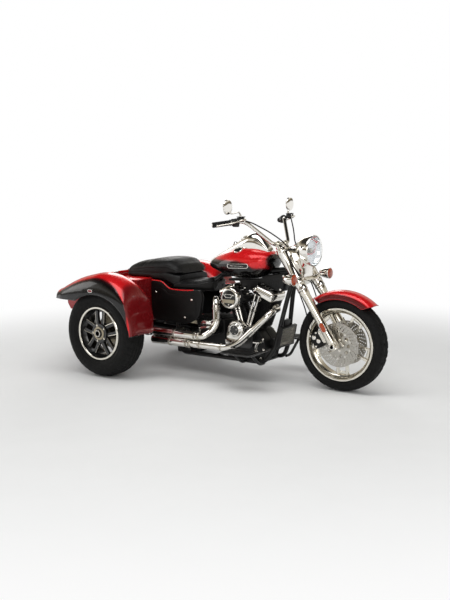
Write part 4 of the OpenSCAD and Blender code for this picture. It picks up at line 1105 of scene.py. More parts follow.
def cylinders():
    barrels = Piece("finned_barrels_and_heads", "chassis", [cast_black, machined, plated_chrome],
                    ["cylinders"],
                    "engine_black")
    for side in (-1, 1):
        up = on_cylinder(side)
        barrels.add(lathe([(0, 131), (60, 131), (60, 140), (54, 144), (54, 300), (0, 300)], 48), up)
        for k in range(12):
            fin = plate(rounded_square(72.5 if k < 11 else 74, 46), 3.6, 0.9)
            barrels.add(fin, up @ move(0, 0, 163 + 12.2 * k))
        # head: a block with fins on three sides, spark plug and bolts
        barrels.add(block(126, 128, 70, 6), up @ move(0, 0, 337))
        for k in range(6):
            barrels.add(plate(rounded_square(75, 24), 4, 1), up @ move(0, 0, 306 + 12.4 * k))
        for a in (-1, 1):
            for b in (-1, 1):
                barrels.add(drum(8, 0, 190, 16), up @ move(a * 50, b * 50, 145))
        plug = aim((0, -72, 0), (0, -1, 0.15))
        barrels.add(lathe([(0, 0), (11, 0), (11, 5), (6, 6), (6, 16), (8, 17), (8, 32), (5, 38), (0, 38)],
                          16),
                    up @ move(-side * 26, 0, 332) @ plug, 2)
    barrels.done(30)


def rocker_covers():
    covers = Piece("rocker_box_covers", "chassis", [plated_chrome, black_alloy], ["rocker_covers"],
                   "chrome")
    for side in (-1, 1):
        up = on_cylinder(side)
        # lower box, gasket line and domed cap
        covers.add(plate(fillet([(-82, -118), (82, -118), (82, 74), (-82, 74)], 22), 26, 3),
                   up @ move(0, 0, 386))
        covers.add(plate(fillet([(-79, -115), (79, -115), (79, 71), (-79, 71)], 22), 3, 0.3),
                   up @ move(0, 0, 400), 1)
        rings = []
        for h, inset in ((401.5, 0), (414, 1), (424, 6), (431, 14), (436, 24), (439, 36)):
            ring = fillet([(-82 + inset, -118 + inset), (82 - inset, -118 + inset),
                           (82 - inset, 74 - inset), (-82 + inset, 74 - inset)], 24, 8)
            rings.append([(x, y, h) for x, y in ring])
        covers.add(skin(rings), up)
        # black inset in the top with three bright ribs
        covers.add(plate(fillet([(-46, -84), (46, -84), (46, 40), (-46, 40)], 16), 3, 0.8),
                   up @ move(0, 0, 438.6), 1)
        for x in (-24, 0, 24):
            covers.add(block(7, 96, 3, 1.2), up @ move(x, -22, 440.4))
        for x, y in ((-66, -100), (66, -100), (-66, 56), (66, 56), (-70, -22), (70, -22)):
            covers.add(bolt(6), up @ move(x, y, 424))
    covers.done(40)
    tubes = Piece("pushrod_tubes_plated", "chassis", [plated_chrome, moulded_rubber], ["pushrod_tubes"],
                  "chrome")
    for side in (-1, 1):
        for k in (0, 1):
            top = on_cylinder(side) @ Vector((-side * (60 - 34 * k), -105, 371))
            foot = Vector((CRANK[0] + side * (16 + 26 * k), -109, 398))
            way = top - foot
            tubes.add(lathe([(0, 0), (13, 0), (13, 14), (11, 16), (9, 17), (9, way.length * 0.42),
                             (10.4, way.length * 0.43), (10.4, way.length * 0.5), (9, way.length * 0.51),
                             (7.6, way.length * 0.52), (7.6, way.length - 16), (12, way.length - 14),
                             (12, way.length), (0, way.length)], 24),
                      aim(foot, way))
            for share in (0.06, 0.47, 0.95):
                tubes.add(collar(7, 11.6, -2.4, 2.4, 24),
                          aim(foot + way * share, way), 1)
    tubes.done(30)


def cam_cover():
    cover = Piece("cam_chest_cover", "chassis", [plated_chrome, black_alloy, machined], ["cam_cover"],
                  "chrome")
    a, b = Vector((280, 375)), Vector((240, 288))
    outline = []
    way = math.degrees(math.atan2(a.y - b.y, a.x - b.x))
    for centre, r, first in ((a, 66, way - 98), (b, 50, way + 82)):
        for k in range(25):
            angle = math.radians(first + 196 * k / 24)
            outline.append((centre.x + r * math.cos(angle), centre.y + r * math.sin(angle)))
    side = turn("X", 90)
    cover.add(plate(fillet([(203, 240), (383, 240), (383, 396), (203, 396)], 30), 52, 5), upright(-125),
              1)
    cover.add(plate(outline, 62, 9), upright(-180))
    for r, depth in ((50, 216), (46, 222)):
        cover.add(lathe([(0, 0), (r, 0), (r, depth - 210), (r - 5, depth - 206), (0, depth - 206)], 64),
                  aim((280, -206, 375), (0, -1, 0)))
    cover.add(lathe([(0, 0), (34, 0), (34, 8), (30, 11), (0, 11)], 64), aim((280, -219, 375), (0, -1, 0)),
              1)
    for x, z in circle(25, *a, n=5, first=0.25):
        cover.add(bolt(3.2), aim((x, -229, z), (0, -1, 0)))
    for k in range(9):
        x, z = outline[(3 + 5 * k) % len(outline)]
        mid = a if k < 5 else b
        x, z = mid.x + (x - mid.x) * 0.84, mid.y + (z - mid.y) * 0.84
        cover.add(bolt(4.4), aim((x, -209, z), (0, -1, 0)), 0)
    # lifter blocks at the foot of the pushrods
    for side_sign in (-1, 1):
        cover.add(block(62, 34, 26, 4), move(298 + side_sign * 30, -112, 396) @ turn("Y", side_sign * 10),
                  0)
    cover.done(35, 0.4)


def left_side_covers():
    primary = Piece("primary_drive_cover", "chassis", [plated_chrome, black_alloy], ["primary_cover"],
                    "chrome")
    a, b = (298, 262, 90), (0, 300, 84)
    outline = []
    tilt = math.degrees(math.atan2(a[1] - b[1], a[0] - b[0]))
    for (x, z, r), first in ((a, tilt - 90), (b, tilt + 90)):
        for k in range(25):
            angle = math.radians(first + 180 * k / 24)
            outline.append((x + r * math.cos(angle), z + r * math.sin(angle)))
    inner = [(149 + (x - 149) * 0.93, 281 + (z - 281) * 0.84) for x, z in outline]
    primary.add(plate(outline, 78, 12), upright(151))
    primary.add(plate(inner, 26, 9), upright(188))
    for (x, z, r), depth in ((b, 60), (a, 40)):
        primary.add(lathe([(0, 0), (depth, 0), (depth, 5), (depth - 7, 9), (0, 9)], 64),
                    aim((x, 194, z), (0, 1, 0)), 1)
        for bx, bz in circle(depth - 11, x, z, 5, 0.5):
            primary.add(bolt(4), aim((bx, 201, bz), (0, 1, 0)))
    for k in range(0, 50, 5):
        x, z = outline[k]
        primary.add(bolt(5), aim((149 + (x - 149) * 0.96, 188, 281 + (z - 281) * 0.93), (0, 1, 0)))
    primary.add(block(150, 15, 120, 4), move(283, 106, 262), 1)
    primary.done(35)

    box = Piece("gearbox_housing", "chassis", [cast_black, plated_chrome, black_alloy, machined],
                ["gearbox"],
                "engine_black")
    box.add(plate(fillet([(-130, 210), (119, 210), (119, 420), (-130, 420)], 24), 214, 6),
            upright(-3))
    for k in range(6):
        box.add(block(6, 216, 30, 2), move(-108 + 40 * k, -3, 420), 0)
    # side cover low down in gloss black, and the plated rounded cap over it
    side = turn("X", 90)
    box.add(plate(fillet([(-26, 318), (100, 318), (104, 400), (60, 428), (-4, 420), (-30, 376)], 26), 112,
                  8),
            upright(-166), 2)
    box.add(plate(capsule(128, 33), 14, 5), move(38, -226, 353) @ turn("Y", -8) @ side, 1)
    box.add(plate(capsule(92, 19), 4, 1), move(38, -233.5, 353) @ turn("Y", -8) @ side, 2)
    box.add(plate(fillet([(-14, 0), (94, 0), (80, 34), (6, 36)], 16), 46, 8), move(0, -208, 392) @ side,
            1)
    for x, z in ((-20, 366), (96, 340), (14, 326), (62, 384)):
        box.add(bolt(3.6), aim((x, -232, z), (0, -1, 0)), 1)
    # output shaft and toothed belt pulley
    box.add(drum(14, 0, 26, 24), aim((-60, 0, 300), (0, 1, 0)), 3)
    box.add(lathe([(0, 24), (34, 24), (36, 26), (36, 46), (34, 48), (0, 48)], 44),
            aim((-60, 0, 300), (0, 1, 0)), 3)
    box.done(35, 0.5)


def air_cleaner():
    cleaner = Piece("air_cleaner_body", "chassis", [cast_black, plated_chrome, black_enamel, satin_alloy],
                    ["air_cleaner"], "engine_black")
    outward = aim((272, -196, 607), (0, -1, 0))
    cleaner.add(lathe([(0, 0), (70, 0), (70, 6), (74, 8), (74, 12), (70, 14), (70, 22), (75, 24),
                       (75, 30), (70, 32), (70, 40), (0, 40)], 72), outward)
    cleaner.add(lathe([(60, 40), (76, 40), (76, 62), (74, 70), (68, 76), (60, 78), (56, 76), (56, 40),
                       (60, 40)], 72),
                outward, 1)
    cleaner.add(lathe([(0, 40), (57, 40), (57, 74), (48, 79), (26, 82), (0, 83)], 72), outward, 2)
    # bright band across the lower part and a blank oval plate above it
    cleaner.add(plate(fillet([(-48, -34), (48, -34), (54, -8), (-54, -8)], 10), 6, 2),
                move(272, -277, 607) @ turn("X", 90), 3)
    cleaner.add(plate(capsule(62, 13), 4, 1.4, [capsule(54, 9)]), move(272, -278, 624) @ turn("X", 90), 1)
    for x, z in circle(44, 272, 607, 3, 0.25):
        cleaner.add(bolt(3.6), aim((x, -275, z), (0, -1, 0)), 1)
    cleaner.add(pipe([(272, -200, 603), (298, -120, 582), (298, 10, 582)], 25, reach=60), finish=0)
    for side in (-1, 1):
        cleaner.add(pipe([(-side * 75.5, 0, 318), (-side * 118, 0, 318)], 19), on_cylinder(side), 0)
        cleaner.add(collar(19, 24, 0, 9, 32),
                    on_cylinder(side) @ aim((-side * 76, 0, 318), (-side, 0, 0)), 1)
    cleaner.done(35)


# ---- exhaust ----


def port(side, out):
    """Middle of a head's outer side, at a distance from it."""
    lean = math.radians(side * LEAN)
    return (CRANK[0] + 325 * math.sin(lean) + side * (75 + out) * math.cos(lean), -30,
            CRANK[1] + 325 * math.cos(lean) - side * (75 + out) * math.sin(lean))


def exhaust():
    routes = {"rear": [port(-1, 0.3), port(-1, 40), (78, -160, 558), (118, -215, 590), (148, -252, 548),
                       (160, -268, 420), (136, -300, 366), (100, -350, 332), (52, -350, 332)],
              "front": [port(1, 0.3), port(1, 40), (546, -130, 520), (530, -180, 490), (440, -222, 392),
                        (345, -248, 296), (260, -280, 256), (20, -350, 272), (-26, -350, 272)]}
    header = Piece("exhaust_header_pipes", "chassis", [plated_chrome, machined, soot],
                   ["exhaust_headers"],
                   "chrome")
    for name, route in routes.items():
        r = 23.5 if name == "rear" else 22
        header.add(pipe(route, r, reach=60, sides=32))
        for side, place in ((0, 12), (len(route) - 1, -14)):
            start, nearby = Vector(route[side]), Vector(route[side + (1 if side == 0 else -1)])
            way = (nearby - start).normalized()
            header.add(lathe([(r, 4), (r + 6, 4), (r + 7, 7), (r + 7, 17), (r + 6, 20), (r, 20), (r, 4)],
                             40),
                       aim(start, way), 1)
    # shield over each pipe's outer half, held by worm clamps
    for name, ends in (("rear", (4, 6)), ("front", (4, 7))):
        route = routes[name][ends[0]:ends[1] + 1]
        grown = 27 if name == "rear" else 25.5
        header.add(pipe([Vector(p) + Vector((0, -1.5, 0)) for p in route], grown, reach=60, sides=32))
        for k in (0.18, 0.82):
            leg = Vector(route[-1 if name == "front" else 1]) - Vector(route[-2 if name == "front" else 0])
            start = Vector(route[-2 if name == "front" else 0])
            header.add(collar(grown, grown + 1.6, -6, 6, 40),
                       aim(start + leg * k + Vector((0, -1.5, 0)), leg), 1)
            header.add(block(14, 8, 10, 1), move(*(start + leg * k + Vector((0, -grown - 1.5, 0)))), 1)
    header.done(45)
    silencers = Piece("silencer_pipes", "chassis", [plated_chrome, soot, machined], ["mufflers"],
                      "chrome")
    for start, end, z, r in ((60, -352, 332, 30), (-20, -361, 272, 29)):
        length = start - end
        place = aim((start, -350, z), (-1, 0, 0))
        silencers.add(lathe([(0, 0), (r - 4, 0), (r - 2, 6), (r - 1, 22), (r, 40), (r, length - 10),
                             (r - 1, length - 3), (r - 3, length), (r - 6, length), (r - 7, length - 8),
                             (r - 7, length - 90)], 56), place)
        silencers.add(lathe([(0, length - 90), (r - 7, length - 90), (r - 7.4, length - 10)], 56), place,
                      1)
        for k in (0.06, 0.5):
            silencers.add(collar(r, r + 2, -7, 7, 48),
                          place @ move(0, 0, length * k), 2)
    silencers.add(block(30, 200, 10, 2), move(-225, -245, 332), 2)
    silencers.add(block(30, 6, 60, 2), move(-225, -350, 300), 2)
    silencers.done(40)


# ---- running gear ----


def rear_running_gear():
    axle = Piece("rear_axle_casing", "chassis", [frame_black, machined, plated_chrome], ["rear_axle"],
                 "black_paint")
    place = along_y(*REAR)
    axle.add(lathe([(0, -420), (50, -420), (50, -408), (42, -404), (42, -110), (60, -84), (95, -80),
                    (98, -60), (98, 0), (95, 16), (60, 18), (42, 24), (42, 404), (50, 408), (50, 420),
                    (0, 420)], 64), place)
    axle.add(drum(20, -628, 628, 40), place, 1)
    for x, z in circle(84, *REAR, n=10):
        axle.add(bolt(6), aim((x, -80, z), (0, -1, 0)), 2)
    for k in range(8):
        axle.add(block(180, 5, 60, 2), place @ turn("Z", 22.5 * k) @ move(0, 0, -34) @ turn("X", 90), 0)
    axle.add(lathe([(0, 24), (86, 24), (88, 26), (88, 46), (86, 48), (0, 48)], 96), place, 1)
    for s in (-1, 1):
        axle.add(pipe([(-215, s * 78, 300), (-634, s * 78, 324)], 22, sides=32))
        axle.add(drum(32, -22, 22, 40), along_y(-215, 300, s * 78))
        axle.add(lathe([(0, 0), (26, 0), (26, 8), (20, 12), (0, 12)], 6),
                 along_y(REAR[0], REAR[1], s * 628 - (12 if s > 0 else 0)), 2)
    axle.add(pipe([(-215, -129, 300), (-215, 129, 300)], 20, sides=32))
    axle.done(35, 0.5)
    shocks = Piece("rear_coil_shocks", "chassis", [plated_chrome, black_alloy, moulded_rubber],
                   ["rear_shocks"],
                   "chrome")
    for s in (-1, 1):
        low, high = Vector((-610, s * 160, 386)), Vector((-395, s * 160, 592))
        way = high - low
        length = way.length
        place = aim(low, way)
        shocks.add(lathe([(0, 0), (11, 0), (11, length * 0.5), (7, length * 0.5), (7, length),
                          (0, length)], 24), place)
        for z, r in ((length * 0.16, 29), (length * 0.8, 29)):
            shocks.add(lathe([(0, z), (r, z), (r, z + 8), (r - 6, z + 10), (0, z + 10)], 40), place, 1)
        coil = [(24 * math.cos(t), 24 * math.sin(t), length * (0.2 + 0.6 * t / 44))
                for t in np.linspace(0, 44, 180)]
        shocks.add(pipe(coil, 4.6, reach=0, sides=8), place)
        for end in (low, high):
            shocks.add(drum(14, -15, 15, 32), along_y(end.x, end.z, end.y), 1)
            shocks.add(lathe([(0, 0), (9, 0), (9, 5), (0, 7)], 6),
                       aim((end.x, s * 175, end.z), (0, s, 0)))
    shocks.done(35)
    brakes = Piece("rear_brake_calipers", "chassis", [satin_alloy, caliper_black, plated_chrome],
                   ["rear_calipers"],
                   "caliper_black")
    for s in (-1, 1):
        brakes.add(plate(circle(60, n=64), 11, 2, [circle(22)]), along_y(*REAR, y=s * 426), 1)
        brakes.add(block(104, 10, 50, 3), move(REAR[0] - 80, s * 426, REAR[1]), 1)
        for y, thick in ((447, 42), (490, 8)):
            body = fillet([(-29, -35), (22, -30), (28, 0), (22, 30), (-29, 35)], 14)
            brakes.add(plate(body, thick, min(5, thick / 3)), move(REAR[0] - 118, s * y, REAR[1])
                       @ turn("X", 90), 0)
        brakes.add(block(13, 68, 60, 3), move(REAR[0] - 141, s * 460, REAR[1]), 0)
        for z in (-18, 18):
            brakes.add(lathe([(0, 0), (13, 0), (13, 4), (10, 6), (0, 6)], 32),
                       aim((REAR[0] - 116, s * 493, REAR[1] + z), (0, s, 0)), 2)
    brakes.done(35, 0.4)
    belt = Piece("toothed_drive_belt", "chassis", [moulded_rubber], ["drive_belt"], "rubber")
    path = belt_line(4.2)
    rings = []
    for i, (x, z, nx, nz) in enumerate(path):
        inner = 2.6 if i % 2 else 0.4
        rings.append([(x - nx * inner, 24.5, z - nz * inner), (x + nx * 2.8, 24.5, z + nz * 2.8),
                      (x + nx * 2.8, 47.5, z + nz * 2.8), (x - nx * inner, 47.5, z - nz * inner)])
    rings.append(rings[0])
    belt.add(skin(rings, caps=False)).done(30)


def belt_line(grow):
    """Points and outward directions along a belt round the two pulleys, 7 mm apart."""
    rear, front, r_rear, r_front = Vector(REAR), Vector((-60, 300)), 88 + grow, 36 + grow
    way = front - rear
    heading = math.atan2(way.y, way.x)
    taper = math.asin((r_rear - r_front) / way.length)
    corners = []
    for centre, r, first, swing in ((rear, r_rear, heading + math.pi / 2 - taper, math.pi + 2 * taper),
                                    (front, r_front, heading - math.pi / 2 + taper, math.pi - 2 * taper)):
        for k in range(int(r * swing / 7) + 1):
            a = first + swing * k / int(r * swing / 7)
            corners.append((centre.x + r * math.cos(a), centre.y + r * math.sin(a), math.cos(a),
                            math.sin(a)))
    made = []
    for now, after in zip(corners, corners[1:] + corners[:1]):
        steps = max(1, int(math.hypot(after[0] - now[0], after[1] - now[1]) / 7))
        made += [tuple(now[c] + (after[c] - now[c]) * k / steps for c in range(4)) for k in range(steps)]
    return made


def footboards():
    boards = Piece("rider_footboards", "chassis", [black_alloy, moulded_rubber, plated_chrome,
                                                   frame_black],
                   ["footboards"], "rubber")
    for s in (-1, 1):
        outline = fillet([(302, 292), (560, 290), (560, 440), (302, 436)], 30)
        place = Matrix.Diagonal((1, s, 1, 1))
        boards.add(plate(outline, 13, 3), place @ move(0, 0, 253))
        boards.add(block(82, 138, 10, 4), place @ move(596, 365, 272) @ turn("Y", -24))
        # rubber pad with raised bars
        boards.add(plate(fillet([(314, 303), (548, 302), (548, 428), (314, 424)], 22), 4, 1),
                   place @ move(0, 0, 260.5), 1)
        for k in range(9):
            boards.add(block(9, 104, 3, 1.2), place @ move(332 + 25 * k, 365, 263), 1)
        for x in (330, 480):
            boards.add(pipe([(x, 146.3, 150), (x, 205, 150), (x, 330, 250)], 10, reach=30, sides=24),
                       place, 3)
            boards.add(drum(15, 0, 6, 6), place @ aim((x, 330, 241), (0, 0, 1)), 2)
    boards.done(35)
    pedals = Piece("foot_pedals", "chassis", [plated_chrome, moulded_rubber], ["foot_controls"], "chrome")
    for s in (-1, 1):
        place = Matrix.Diagonal((1, s, 1, 1))
        pedals.add(pipe([(520, 310, 262.5), (520, 310, 300), (545, 310, 334)], 8, reach=20), place)
        pedals.add(lathe([(0, 0), (14, 0), (14, 6), (10, 9), (0, 9)], 24),
                   place @ aim((520, 310, 262), (0, 0, 1)))
        pedals.add(plate(fillet([(525, 292), (575, 292), (575, 360), (525, 360)], 10), 9, 2),
                   place @ move(0, 0, 335.5))
        for k in range(4):
            pedals.add(block(8, 58, 4, 1), place @ move(532 + 12 * k, 326, 340.5), 1)
    pedals.done(35)
    cooler = Piece("oil_cooler_core", "chassis", [black_alloy, machined, frame_black], ["oil_cooler"],
                   "engine_black")
    low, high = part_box("oil_cooler")
    centre = (low + high) / 2 / MM
    down = FORK @ Vector((-150, 26, 500)) - Vector((530, 90, 240))
    tilt = turn("Y", math.degrees(math.atan2(down.x, down.z)))
    for s in (-1, 1):
        cooler.add(block(24, 12, 148, 3), move(*centre) @ tilt @ move(0, s * 93, 0), 2)
    for z in (-69, 69):
        cooler.add(block(24, 190, 10, 2), move(*centre) @ tilt @ move(0, 0, z), 2)
    for k in range(17):
        cooler.add(block(20, 176, 1.6, 0), move(*centre) @ tilt @ move(0, 0, -60 + 7.5 * k), 1)
    for k in range(6):
        cooler.add(block(10, 176, 5, 1), move(*centre) @ tilt @ move(0, 0, -56 + 22.4 * k), 0)
    cooler.done(35)


def engine_covers():
    """Coil and wiring cover under the backbone, and the finned regulator between the front tubes."""
    cover = Piece("coil_and_wiring_cover", "chassis", [moulded_plastic, plated_chrome, moulded_rubber],
                  ["wiring_cover"], "black_plastic")
    outline = [(215, 704), (247, 642), (350, 642), (380, 704), (402, 702), (546, 643), (572, 650),
               (590, 700), (600, 774), (480, 762), (440, 757), (390, 730), (310, 719), (220, 719),
               (120, 717), (120, 700), (190, 703)]
    cover.add(plate(fillet(outline, 8), 118, 5), turn("X", 90))
    for s in (-1, 1):
        for k in range(5):
            cover.add(block(5, 3, 40 + 6 * k, 1), move(470 + 18 * k, s * 59.6, 706 - 2 * k), 0)
        for x, z in ((262, 655), (336, 655), (560, 662), (586, 758)):
            cover.add(bolt(5), aim((x, s * 58.8, z), (0, s, 0)), 1)
    for side in (-1, 1):
        lead = [Vector((298 + side * 30, -58, 668)), Vector((298 + side * 44, -96, 660)),
                on_cylinder(side) @ Vector((-side * 26, -92, 332))]
        cover.add(pipe(lead, 4, reach=40, sides=12), finish=2)
    cover.done(35)
    regulator = Piece("finned_regulator", "chassis", [cast_black, plated_chrome], ["regulator"],
                      "engine_black")
    body = move(559.5, 0, 375) @ turn("Y", math.degrees(math.atan2(85, 413)))
    regulator.add(block(10, 76, 152, 2), body @ move(9, 0, 0))
    for k in range(13):
        regulator.add(block(26, 72, 3.2, 0.8), body @ move(-1, 0, -70 + 11.6 * k))
    for y in (-31, 31):
        for z in (-70, 70):
            regulator.add(bolt(4), body @ aim((-14, y, z), (-1, 0, 0)), 1)
    regulator.done(35)


def rear_lamps():
    lamps = Piece("rear_lamp_set", "chassis", [plated_chrome, red_lens, moulded_plastic], ["rear_lamps"],
                  "red_lens")
    for s in (-1, 1):
        back = aim((-1191.3, s * 300, 532), (-1, 0, 0))
        lamps.add(lathe([(0, 0), (38, 0), (38, 6), (35, 12), (32.5, 12), (32.5, 4), (0, 4)], 56), back)
        lamps.add(lathe([(0, 4.5), (32, 4.5), (32, 14), (29, 19), (18, 23), (0, 24)], 56), back, 1)
        marker = along_y(-641, 646, s * 702.6) @ (turn("X", 180) if s < 0 else PLAIN)
        lamps.add(plate(capsule(46, 11), 2.8, 0.8), marker)
        lamps.add(plate(capsule(40, 8.4), 3.6, 1.4), marker, 1)
    lamps.done(40)
    bumper = Piece("rear_bumper_bar", "chassis", [plated_chrome, frame_black], ["rear_bumper"], "chrome")
    z = 427.7
    bumper.add(pipe([(-1092, -300, z), (-1251, -300, z), (-1251, 300, z), (-1092, 300, z)], 12, reach=46,
                    sides=28))
    for y in (-60, 60):
        bumper.add(block(84, 12, 12, 2), move(-1293, y, z), 1)
        bumper.add(bolt(5), aim((-1331, y, z), (1, 0, 0)), 0)
    bumper.add(plate(fillet([(-95, -10), (95, -10), (95, 120), (-95, 120)], 12), 3.6, 0.6,
                     [circle(3.3, s * 73, 98) for s in (-1, 1)]
                     + [fillet([(-60, 20), (60, 20), (60, 70), (-60, 70)], 16)]),
               Matrix(((0, 0, 1, -1333), (1, 0, 0, 0), (0, 1, 0, z), (0, 0, 0, 1))), 1)
    bumper.done(35)


crankcase()
cylinders()
rocker_covers()
cam_cover()
left_side_covers()
air_cleaner()
exhaust()
rear_running_gear()
footboards()
engine_covers()
rear_lamps()

# ---- fork and steering ----

BAR = [(-40, 0, 815), (-40, 96, 815), (-58, 240, 1008), (-75, 280, 1036), (-190, 420, 1086)]
BAR_LINE = [FORK @ Vector(p) for p in BAR]


def along_grip(t, dx=0.0, dy=0.0, dz=0.0):
    """A point on the left grip's line, with an offset in the part's own axes."""
    return BAR_LINE[3] + (BAR_LINE[4] - BAR_LINE[3]) * t + Vector((dx, dy, dz))


def fork_legs():
    tubes = Piece("fork_tubes_and_shrouds", "steering", [plated_chrome, machined, moulded_rubber],
                  ["fork_tubes"],
                  "chrome")
    sliders = Piece("fork_slider_castings", "steering", [polished_alloy, plated_chrome, moulded_rubber,
                                                         amber_lens],
                    ["fork_sliders"], "polished_alloy")
    for s in (-1, 1):
        leg = FORK @ move(0, s * LEG_Y, 0)
        tubes.add(lathe([(0, 230), (24.5, 230), (24.5, 776), (22, 779), (0, 779)], 48), leg)
        for low, high in ((429, 487.6), (512.4, 732.6)):
            tubes.add(lathe([(25, low), (36, low), (37.4, low + 3), (37.4, low + 9), (35.6, low + 12),
                             (35.6, high - 12), (37.4, high - 9), (37.4, high - 3), (36, high),
                             (25, high), (25, low)], 56), leg)
        tubes.add(lathe([(0, 0), (17, 0), (17, 10), (14, 12), (0, 12)], 6), leg @ move(0, 0, 768), 1)
        sliders.add(lathe([(0, -26), (27, -26), (30, -22), (30, -4), (32, 0), (32, 60), (30, 78),
                           (30, 392), (33, 400), (33, 424), (30, 428), (24.8, 428), (24.8, 240),
                           (0, 240)], 56), leg)
        sliders.add(collar(25, 32, 424, 427.6, 48), leg, 2)
        sliders.add(lathe([(0, -35), (20, -35), (22, -32), (22, 32), (20, 35), (0, 35)], 40),
                    leg @ turn("X", -90))
        lug = fillet([(-66, 56), (-28, 50), (-24, 140), (-66, 146)], 12)
        sliders.add(plate(lug, 21, 4), leg @ upright(-s * 19))
        for w in (74, 128):
            sliders.add(bolt(6.5), leg @ aim((-54, -s * 8, w), (0, s, 0)), 1)
        # clamp bolt for the axle, drain screw and a reflector on the outer side
        for w in (-14, 14):
            sliders.add(bolt(5), leg @ aim((26, s * 14, w), (1, 0, 0)), 1)
        sliders.add(bolt(4), leg @ aim((-12, s * 28, 30), (0, s, 0)), 1)
        shield = leg @ aim((8, s * 28.5, 142), (0.15, s, 0)) @ turn("Z", 90 if s > 0 else -90)
        sliders.add(plate(capsule(74, 19), 7, 1.5), shield, 1)
        sliders.add(plate(capsule(66, 15), 6, 2), shield @ move(0, 0, 2.6), 3)
    tubes.done(35)
    sliders.done(35, 0.5)


def triple_clamps():
    clamps = Piece("triple_clamps", "steering", [polished_alloy, plated_chrome], ["fork_clamps"],
                   "polished_alloy")
    half = [(24, 0), (24, 50), (30, 84), (36.5, 118), (26, 144), (0, 154.5), (-26, 144), (-38, 104),
            (-72, 44)]
    outline = half + [(-84, 0)] + [(u, -y) for u, y in half[:0:-1]]
    for w in (500, 745):
        clamps.add(plate(fillet(outline, 12), 24, 3.5, [circle(24.9, 0, s * LEG_Y, 48) for s in (-1, 1)]),
                   FORK @ move(0, 0, w))
        for s in (-1, 1):
            clamps.add(bolt(6), FORK @ aim((-30, s * 136, w), (-1, s * 0.5, 0)), 1)
            clamps.add(bolt(6), FORK @ aim((32, s * 100, w), (1, 0, 0)), 1)
    clamps.add(drum(15, 510, 736, 32), FORK @ move(STEM_U, 0, 0))
    clamps.add(lathe([(0, 757), (21, 757), (21, 767), (16, 772), (0, 773)], 32),
               FORK @ move(STEM_U, 0, 0), 1)
    clamps.done(35)


def headlamp_parts():
    nacelle = Piece("headlamp_nacelle_cover", "steering", [plated_chrome, moulded_rubber],
                    ["headlamp_nacelle"],
                    "chrome")
    front = [(512.4, 26), (520, 32), (560, 50), (600, 68), (640, 86), (680, 92), (715, 88), (727, 82),
             (732.6, 74)]
    rings = []
    for w in [512.4, 516, *np.linspace(524, 722, 24), 728, 732.6]:
        u = float(np.interp(w, [p[0] for p in front], [p[1] for p in front]))
        edge = 0.94 if w in (512.4, 732.6) else 1
        rings.append([((u - 11) / 2 + (u + 11) / 2 * edge * math.copysign(abs(math.cos(a)) ** 0.55,
                                                                          math.cos(a)),
                       79 * edge * math.copysign(abs(math.sin(a)) ** 0.55, math.sin(a)), w)
                      for a in (math.tau * k / 56 for k in range(56))])
    nacelle.add(skin(rings), FORK)
    # plated panels that close the gap between the nacelle and the fork legs
    for s in (-1, 1):
        rows = []
        for w in np.linspace(515, 730, 20):
            u = float(np.interp(w, [p[0] for p in front], [p[1] for p in front]))
            line = [(u - 4, 66), (max(40, u * 0.8), 80), (41, 96), (39, 118), (33, 134), (18, 149)]
            rows.append([(a, s * b, w) for a, b in line] + [(a - 3, s * (b - 1.5), w)
                                                            for a, b in line[::-1]])
        nacelle.add(skin(rows), FORK)
    nacelle.done(50)
    lamp = Piece("headlamp_unit", "steering", [plated_chrome, mirror_glass, clear_glass, machined],
                 ["headlamp"],
                 "chrome")
    place = aim((679, 0, 936), (1, 0, 0))
    lamp.add(lathe([(0, 0), (60, 0), (78, 16), (92, 40), (100, 68), (104, 90), (107, 104), (107.6, 112),
                    (106.6, 119), (104, 122), (101, 121), (100, 114), (104, 104), (98, 70), (88, 42),
                    (58, 4), (0, 4)], 96), place)
    flutes = 60
    bowl = lathe([(100, 116), (97, 104), (90, 90), (78, 77), (62, 66), (46, 57), (26, 51), (12, 50),
                  (0, 50)],
                 flutes * 2)
    rippled = []
    for i, (x, y, z) in enumerate(bowl[0]):
        ray = i // 9
        rippled.append((x, y, z + (1.3 if ray % 2 else -1.3) * (math.hypot(x, y) > 30)))
    lamp.add((rippled, bowl[1]), place, 1)
    # bulb shield, and the lens
    lamp.add(lathe([(0, 74), (14, 74), (17, 80), (17, 94), (12, 98), (0, 99)], 40), place, 3)
    lamp.add(lathe([(0, 145), (30, 143.6), (58, 139), (80, 131), (95, 122), (100.4, 116), (98, 115),
                    (80, 127), (58, 135), (30, 139.6), (0, 141)], 96), place, 2)
    lamp.done(40)


